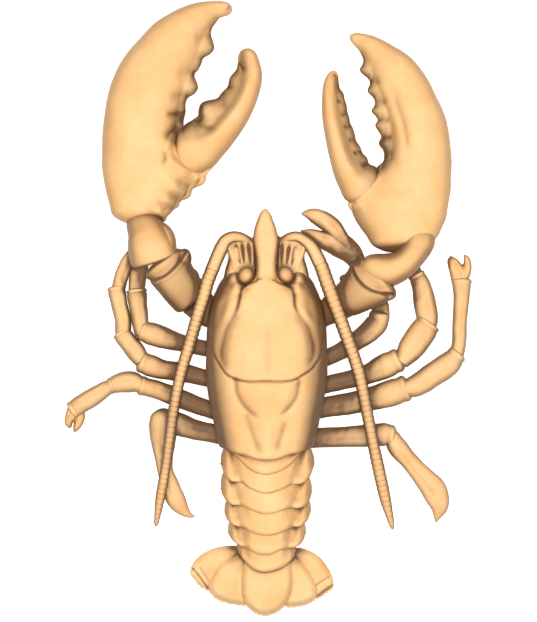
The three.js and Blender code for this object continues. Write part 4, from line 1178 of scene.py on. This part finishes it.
for leg, joints in LEGS.items():
    for part, stations in joints.items():
        name = f"{leg}_{part}"
        last = part in ("toe", "pincer") or name == "left_leg_1_lower"
        first = part == "upper"
        bm = bmesh.new()
        rims = [] if last else [(0.955, 0.02, 0.06), (0.905, 0.02, -0.04)]
        if not first:
            rims += [(0.10, 0.02, -0.05)]
            stations = [reaching(stations[1], stations[0])] + stations
        if not last:
            stations = stations + [reaching(stations[-2], stations[-1])]
        stations = [(x, y, z, w + 0.3, h) for x, y, z, w, h in stations]
        limb(bm, stations, 72, 32, caps=(0.1, 0.18 if last else 0.035), square=2.2, flares=rims)
        if name in SECOND_FINGERS:
            limb(bm, SECOND_FINGERS[name], 40, 24, caps=(0.2, 0.2))
        mesh = fused(bm, 0.45, 3) if name in SECOND_FINGERS else plain(bm)
        co, normal = points_of(mesh), normals_of(mesh)
        start, end = np.array(stations[0][:2]), np.array(stations[-1][:2])
        run = (co[:, :2] - start) @ (end - start) / ((end - start) @ (end - start))
        middle = [(x, y) for x, y, *_ in stations]
        far, side = from_line(co, middle, 40)
        lift = 0.14 * ripple(co, 9, 12) - 0.45 * bell(far * side + 1.6, 1.1) * ramp(normal[:, 2], 0.2,
            0.7) * ramp(run, 0.15, 0.35) * (1 - ramp(run, 0.7, 0.9))
        move_points(mesh, co + normal * lift[:, None])
        # Each leg joint gets a little painted shade all over.
        hand_over(
            f"{name}_shell", mesh, SHELL, [name],
            pale=0.3 * bell(run - 1.0, 0.05) * (not last) + 0.35 * bell(run,
            0.08) * (not first) + 0.4 * ramp(-normal[:, 2], 0.2, 0.8),
            deep_tint_and_shade=0.3 * ramp(run, 0.75, 1.0) if last else 0.12 * bell(run - 0.86, 0.1), painted_shade=0.07, wide=16,
        )
print("legs:", sum(TALLY[k] for k in TALLY if "leg" in k), "triangles")

# %% [markdown]
# ## Feelers
# The long antennae are whips of hundreds of tiny rings, thick at the hooked base and swept back over the
# legs. A ribbed limb gives the rings in the mesh itself. In front of each eye lies a plate with deep folds
# that fan out from the hood down to the eye, so a slab is fused and the folds are carved into it.

# %% Feelers
FEELERS = {
    "left": [
        (-8, 41.2, 39, 2.2, 2.6), (-12, 43.6, 39.7, 2.9, 3), (-16.3, 45.4, 40.4, 3.4, 3.6),
        (-21.6, 45.8, 41.4, 3.8, 4), (-26, 43.6, 41.8, 4.1, 4.2), (-28.7, 39, 41.8, 4.4, 4.3),
        (-32.6, 30.1, 41.6, 4.4, 4.3), (-34.9, 24.3, 41.5, 4.4, 4.3), (-37.6, 17.3, 41.3, 4.4, 4.2),
        (-40.2, 7.7, 41, 4.3, 4.1), (-42.8, -0.6, 40, 4.2, 4),
        (-48.3, -19.8, 35, 4.1, 3.9), (-54.9, -42, 29.5, 3.8, 3.7), (-59.2, -63.5, 24, 3.6, 3.5),
        (-61.9, -82.5, 20, 3.4, 3.3),
        (-64.6, -102, 15.5, 3.2, 3.1), (-67.8, -119.5, 10.5, 3.2, 2.8), (-71, -139.6, 4.5, 1.3, 1.3),
    ],
    "right": [
        (8, 41, 39, 2.2, 2.6), (11, 43.6, 39.5, 2.8, 3), (15, 45.6, 40.4, 3.2, 3.6), (19.5, 46, 41.2, 3.5, 4),
        (24.5, 43.6, 41.6, 3.7, 4.2), (28.8, 39.4, 41.8, 4.2, 4.3),
        (32.2, 33.3, 41.7, 4.5, 4.3), (34.6, 28.2, 41.5, 4.6, 4.4), (38.3, 17.9, 41.3, 4.7, 4.4),
        (42.6, 5.8, 41, 4.6, 4.3), (45, -0.6, 40, 4.5, 4.2),
        (52, -19.8, 35, 4.3, 4.1), (58.5, -38.8, 30, 4.1, 3.9), (64.2, -65.2, 23.6, 3.9, 3.8),
        (67.8, -84, 20, 3.8, 3.6),
        (71.9, -102.8, 15.5, 4, 3.4), (76.2, -122, 10, 3.6, 2.9), (81.2, -141.6, 4.5, 1.3, 1.3),
    ],
}
# Folds in front of each eye, from the hood down to the eye.
FOLDS = {
    "left": [((-23.4, 37), (-20.6, 28)), ((-19.8, 42), (-16.4, 28.5)), ((-15.6, 42.4), (-13.9, 28.5)),
    ((-11.2, 42.2), (-9.8, 28))],
    "right": [((9.4, 42), (9.2, 28)), ((14.4, 41), (12.6, 28)), ((18.6, 40), (15.8, 27.5)), ((23, 37), (20.4, 27))],
}
for side_name, sign in (("left", -1), ("right", 1)):
    bm = bmesh.new()
    whip = FEELERS[side_name]
    limb(bm, whip[6:], 560, 20, caps=(0.01, 0.02), ribs=(52, 0.075))
    limb(bm, whip[:8], 96, 26, caps=(0.06, 0.03), square=2.2, flares=[(0.97, 0.02, 0.03), (0.62, 0.02, 0.03)])
    feeler = plain(bm)
    co = points_of(feeler)
    # The whip's sides get strong painted shade.
    hand_over(
        f"{side_name}_antenna_whip", feeler, SHELL, [f"{side_name}_antenna"],
        deep_tint_and_shade=0.1 + 0.15 * ramp(-co[:, 1], 60, 130), wide=8, sides=0.9,
    )
    bm = bmesh.new()
    limb(bm, [(sign * 20, 13, 34, 8.5, 8), (sign * 20.2, 24, 36, 6.4, 6.6), (sign * 19.6, 32, 38, 4.8, 5),
        (sign * 21, 41, 39.6, 4, 3)], 44, 30)
    limb(bm, [(sign * 18.6, 22, 37.4, 3, 3.4), (sign * 20.6, 30, 39.8, 2.2, 2.8), (sign * 23.4, 38, 41.2, 2, 2.2),
        (sign * 25, 42.6, 41.2, 2.4, 2)], 40, 18)
    hand_over(f"{side_name}_antenna_stalk_shell", fused(bm, 0.5, 4), SHELL, [f"{side_name}_antenna_stalk"])
    bm = bmesh.new()
    slab(bm, [(sign * x, y) for x, y in ((8.5, 42.6), (12, 43.8), (18, 45), (24, 43.5), (25, 39), (23, 31), (20.5,
        24), (14, 22), (8.5, 23), (8, 33), (8.5, 42.6))], 38.9, 8)
    ribs = fused(bm, 0.4, 8)
    co, normal = points_of(ribs), normals_of(ribs)
    top, sunk = ramp(normal[:, 2], 0.1, 0.5), 0
    for mouth, foot in FOLDS[side_name]:
        far, side, share = measure(co, [mouth, foot], 40)
        deepness = np.exp(-((far / (0.35 + 1.0 * (1 - share))) ** 1.4)) * ramp(share, -0.15,
            0.32) * np.sqrt(np.clip(1 - share, 0, 1))
        sunk = np.maximum(sunk, deepness)
    move_points(ribs, co - normal * (top * 2.3 * sunk)[:, None])
    # Painted shade fills the folds and darkens the plate towards its outer side.
    hand_over(f"{side_name}_antennule_ribs", ribs, SHELL, [f"{side_name}_antennule"],
        painted_shade=0.06 + 0.62 * sunk + 0.22 * ramp(np.abs(co[:, 0]), 20, 25), sides=0.55)
    bm = bmesh.new()
    limb(bm, [(sign * 11, 12, 12, 4.4, 4.4), (sign * 11.5, 24, 13.5, 4.8, 4.6), (sign * 10, 36, 16.5, 4, 4),
        (sign * 7, 47, 19, 1.4, 1.6)], 50, 26, flares=[(0.45, 0.03, 0.12), (0.75, 0.03, 0.12)])
    hand_over(f"{side_name}_mouth_leg_shell", plain(bm), BELLY, [f"{side_name}_mouth_leg"])
print("feelers done")

# %% [markdown]
# ## Breastplate and underside
# Under the body lie the breastplates between the leg roots, with a round socket for each leg. Under the
# tail there is soft pale skin with a cross rib for each ring and a pair of swimmerets on each rib. None of
# this shows from above, but it is what a diner sees on turning the lobster over.

# %% Underside
BREAST = [(0, 27, 8, 14, 7), (0, 8, 7, 19, 7.6), (0, -30, 7, 21, 7.6), (0, -70, 7, 19, 7.6), (0, -90, 7.5, 15, 6.8)]
bm = bmesh.new()
limb(bm, BREAST, 70, 60, caps=(0.08, 0.08), square=3)
for sign in (-1, 1):
    for y in (-8, -29, -50, -69, -84):
        lump(bm, sign * 17.5, y, 8.5, 7.5, 6.5, 7)
breast = fused(bm, 0.8, 4)
co, normal = points_of(breast), normals_of(breast)
down = ramp(-normal[:, 2], 0.1, 0.6)
lift = -down * 0.9 * bell(np.abs(co[:, 0]), 1.4)
for y in (-18, -39, -60, -77):
    lift -= down * 1.0 * bell(co[:, 1] - y - 0.06 * np.abs(co[:, 0]), 1.3)
co = co + normal * lift[:, None]
co[:, 2] = np.maximum(co[:, 2], 0)
move_points(breast, co)
hand_over("breastplate", breast, BELLY, ["belly_plate"])

bm = bmesh.new()
limb(bm, [(0, -88, 24, 22, 18), (0, -104, 23, 22.5, 18), (0, -125, 21, 22.5, 16), (0, -142, 18.5, 20.5, 13.5),
    (0, -156, 15, 16, 10.5), (0, -165, 13, 12, 8)], 80, 60, square=2.4)
for y in (-104, -117, -130, -143, -154):
    limb(bm, [(-17, y + 3, 7, 1.6, 1.6), (0, y, 4.2, 1.5, 1.5), (17, y + 3, 7, 1.6, 1.6)], 40, 14)
hand_over("tail_underside", fused(bm, 0.7, 4), BELLY, pale=0.3)
for i, y in enumerate((-104, -117, -130, -143)):
    bm = bmesh.new()
    for sign in (-1, 1):
        limb(bm, [(sign * 11, y, 4.5, 1.6, 1.6), (sign * 13, y - 3, 3.2, 1.5, 1.3)], 16, 14)
        limb(bm, [(sign * 12, y - 3, 3, 1.6, 0.8), (sign * 9.5, y - 8, 2.4, 2.6, 0.7),
            (sign * 8.5, y - 12, 2, 1.4, 0.5)], 26, 18)
        limb(bm, [(sign * 13.5, y - 3, 3, 1.6, 0.8), (sign * 15, y - 8, 2.4, 2.6, 0.7),
            (sign * 15.5, y - 12, 2, 1.4, 0.5)], 26, 18)
    hand_over(f"swimmerets_{i + 1}", plain(bm), BELLY, pale=0.2, deep_tint_and_shade=0.2)
print("underside done, in all", sum(TALLY.values()), "triangles")

# %% [markdown]
# ## Shade in the seams
# The photograph darkens to brown in every seam, under every overhang and round the eyes, more than plain
# light from above does. A baked occlusion map would find those places, but a quick way is to lay a grid of
# heights over the finished lobster and to ask, for each point, how steeply its surroundings rise above it.
# The answer joins the hollows of each piece in the weight that its material darkens.

# %% Gather shade from the heights around each point
CELL, HALF_X, HALF_Y = 1.0, 140, 210
heights = np.zeros((2 * HALF_X, 2 * HALF_Y))
for mesh, spots, normal, piece_shade in PIECES.values():
    ix = np.clip(((spots[:, 0] + HALF_X) / CELL).astype(int), 0, 2 * HALF_X - 1)
    iy = np.clip(((spots[:, 1] + HALF_Y) / CELL).astype(int), 0, 2 * HALF_Y - 1)
    np.maximum.at(heights, (ix, iy), spots[:, 2])


blurred = np.pad(heights, 1, mode="edge")
heights = sum(blurred[i : i + 2 * HALF_X, j : j + 2 * HALF_Y] for i in range(3) for j in range(3)) / 9

STEPS_OUT = (2, 3.5, 5.5, 8.5, 13, 19)
EYE_RING = 6.3
DARKEST = 0.88


def overhang(spots, normal):
    total, weights = np.zeros(len(spots)), np.full(len(spots), 1e-6)
    for angle in np.arange(0, 2 * np.pi, np.pi / 6):
        way = np.array([np.cos(angle), np.sin(angle)])
        rise = np.zeros(len(spots))
        for reach in STEPS_OUT:
            ix = np.clip((spots[:, 0] + way[0] * reach + HALF_X).astype(int), 0, 2 * HALF_X - 1)
            iy = np.clip((spots[:, 1] + way[1] * reach + HALF_Y).astype(int), 0, 2 * HALF_Y - 1)
            rise = np.maximum(rise, (heights[ix, iy] - spots[:, 2] - 0.6) / reach)
        weight = np.clip(normal[:, :2] @ way + 0.5 * np.clip(normal[:, 2], 0, 1), 0, 1)
        total += weight * rise / np.sqrt(1 + rise**2)
        weights += weight
    return total / weights


for name, (mesh, spots, normal, piece_shade) in PIECES.items():
    # Painted shade: under overhangs, on legs beside the body and in a ring round each eye.
    faces_up = ramp(normal[:, 2], -0.5, 0.1)
    beside = (1 - ramp(np.abs(spots[:, 0]), 42, 80)) * ramp(34 - spots[:, 2], 0, 10) * ramp(spots[:, 1], -112,
        -90) * (1 - ramp(spots[:, 1], 10, 40))
    ring = sum(bell(np.hypot(spots[:, 0] - x, spots[:, 1] - y) - EYE_RING, 1.9) for x,
        y in EYES_AT.values()) * ramp(spots[:, 2], 36, 40)
    shade = ramp(overhang(spots, normal), 0.1, 0.9) + 0.42 * beside + 0.12 * ring
    set_weight(mesh, "painted_shade", np.clip(piece_shade + shade * faces_up, 0, DARKEST))
print("shaded", len(PIECES), "pieces")

# %% [markdown]
# ## Table and light
# The photograph has a white ground and soft light that comes from where the camera is, so faces that look
# up are bright and sides fall off to brown. One broad lamp overhead gives that, with a little even light
# from all around. The table glows faintly, which keeps it white without lighting the shell too much.

# %% Table and light
TABLE_GLOW = 0.45
LAMP_WIDTH, LAMP_HEIGHT, LAMP_WATTS = 1.2, 6.0, 440
FILL_LIGHT = 0.15

bm = bmesh.new()
bmesh.ops.create_grid(bm, x_segments=2, y_segments=2, size=3)
table_mesh = plain(bm)
r = Recipe("table_white")
table_mesh.materials.append(r.finish(Base_Color=r.mix(r.noise(6, 2.0), hue("FBFAF8"), hue("FFFFFF")), Roughness=0.7,
    Emission_Color=hue("FFFFFF"), Emission_Strength=TABLE_GLOW))
table = bpy.data.objects.new("table", table_mesh)
bpy.context.scene.collection.objects.link(table)
table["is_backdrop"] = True

lamp = bpy.data.lights.new("overhead_softbox", "AREA")
lamp.shape = "DISK"
lamp.size = LAMP_WIDTH
lamp.energy = LAMP_WATTS
lamp.color = (1.0, 0.985, 0.96)
softbox = bpy.data.objects.new("overhead_softbox", lamp)
softbox.location = (MIDLINE[0], MIDLINE[1], LAMP_HEIGHT)
bpy.context.scene.collection.objects.link(softbox)

world = bpy.data.worlds.new("studio")
world.use_nodes = True
world.node_tree.nodes["Background"].inputs["Color"].default_value = hue("F4F1EC")
world.node_tree.nodes["Background"].inputs["Strength"].default_value = FILL_LIGHT
bpy.context.scene.world = world
bpy.context.scene.view_settings.view_transform = "Standard"

# %% [markdown]
# ## Sizes
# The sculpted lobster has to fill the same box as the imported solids.

# %% Compare the boxes
visual_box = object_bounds()
for word, (lo, hi) in (("packed", cad_box), ("sculpted", visual_box)):
    print(word, [round((h - l) / MM, 1) for l, h in zip(lo, hi)])
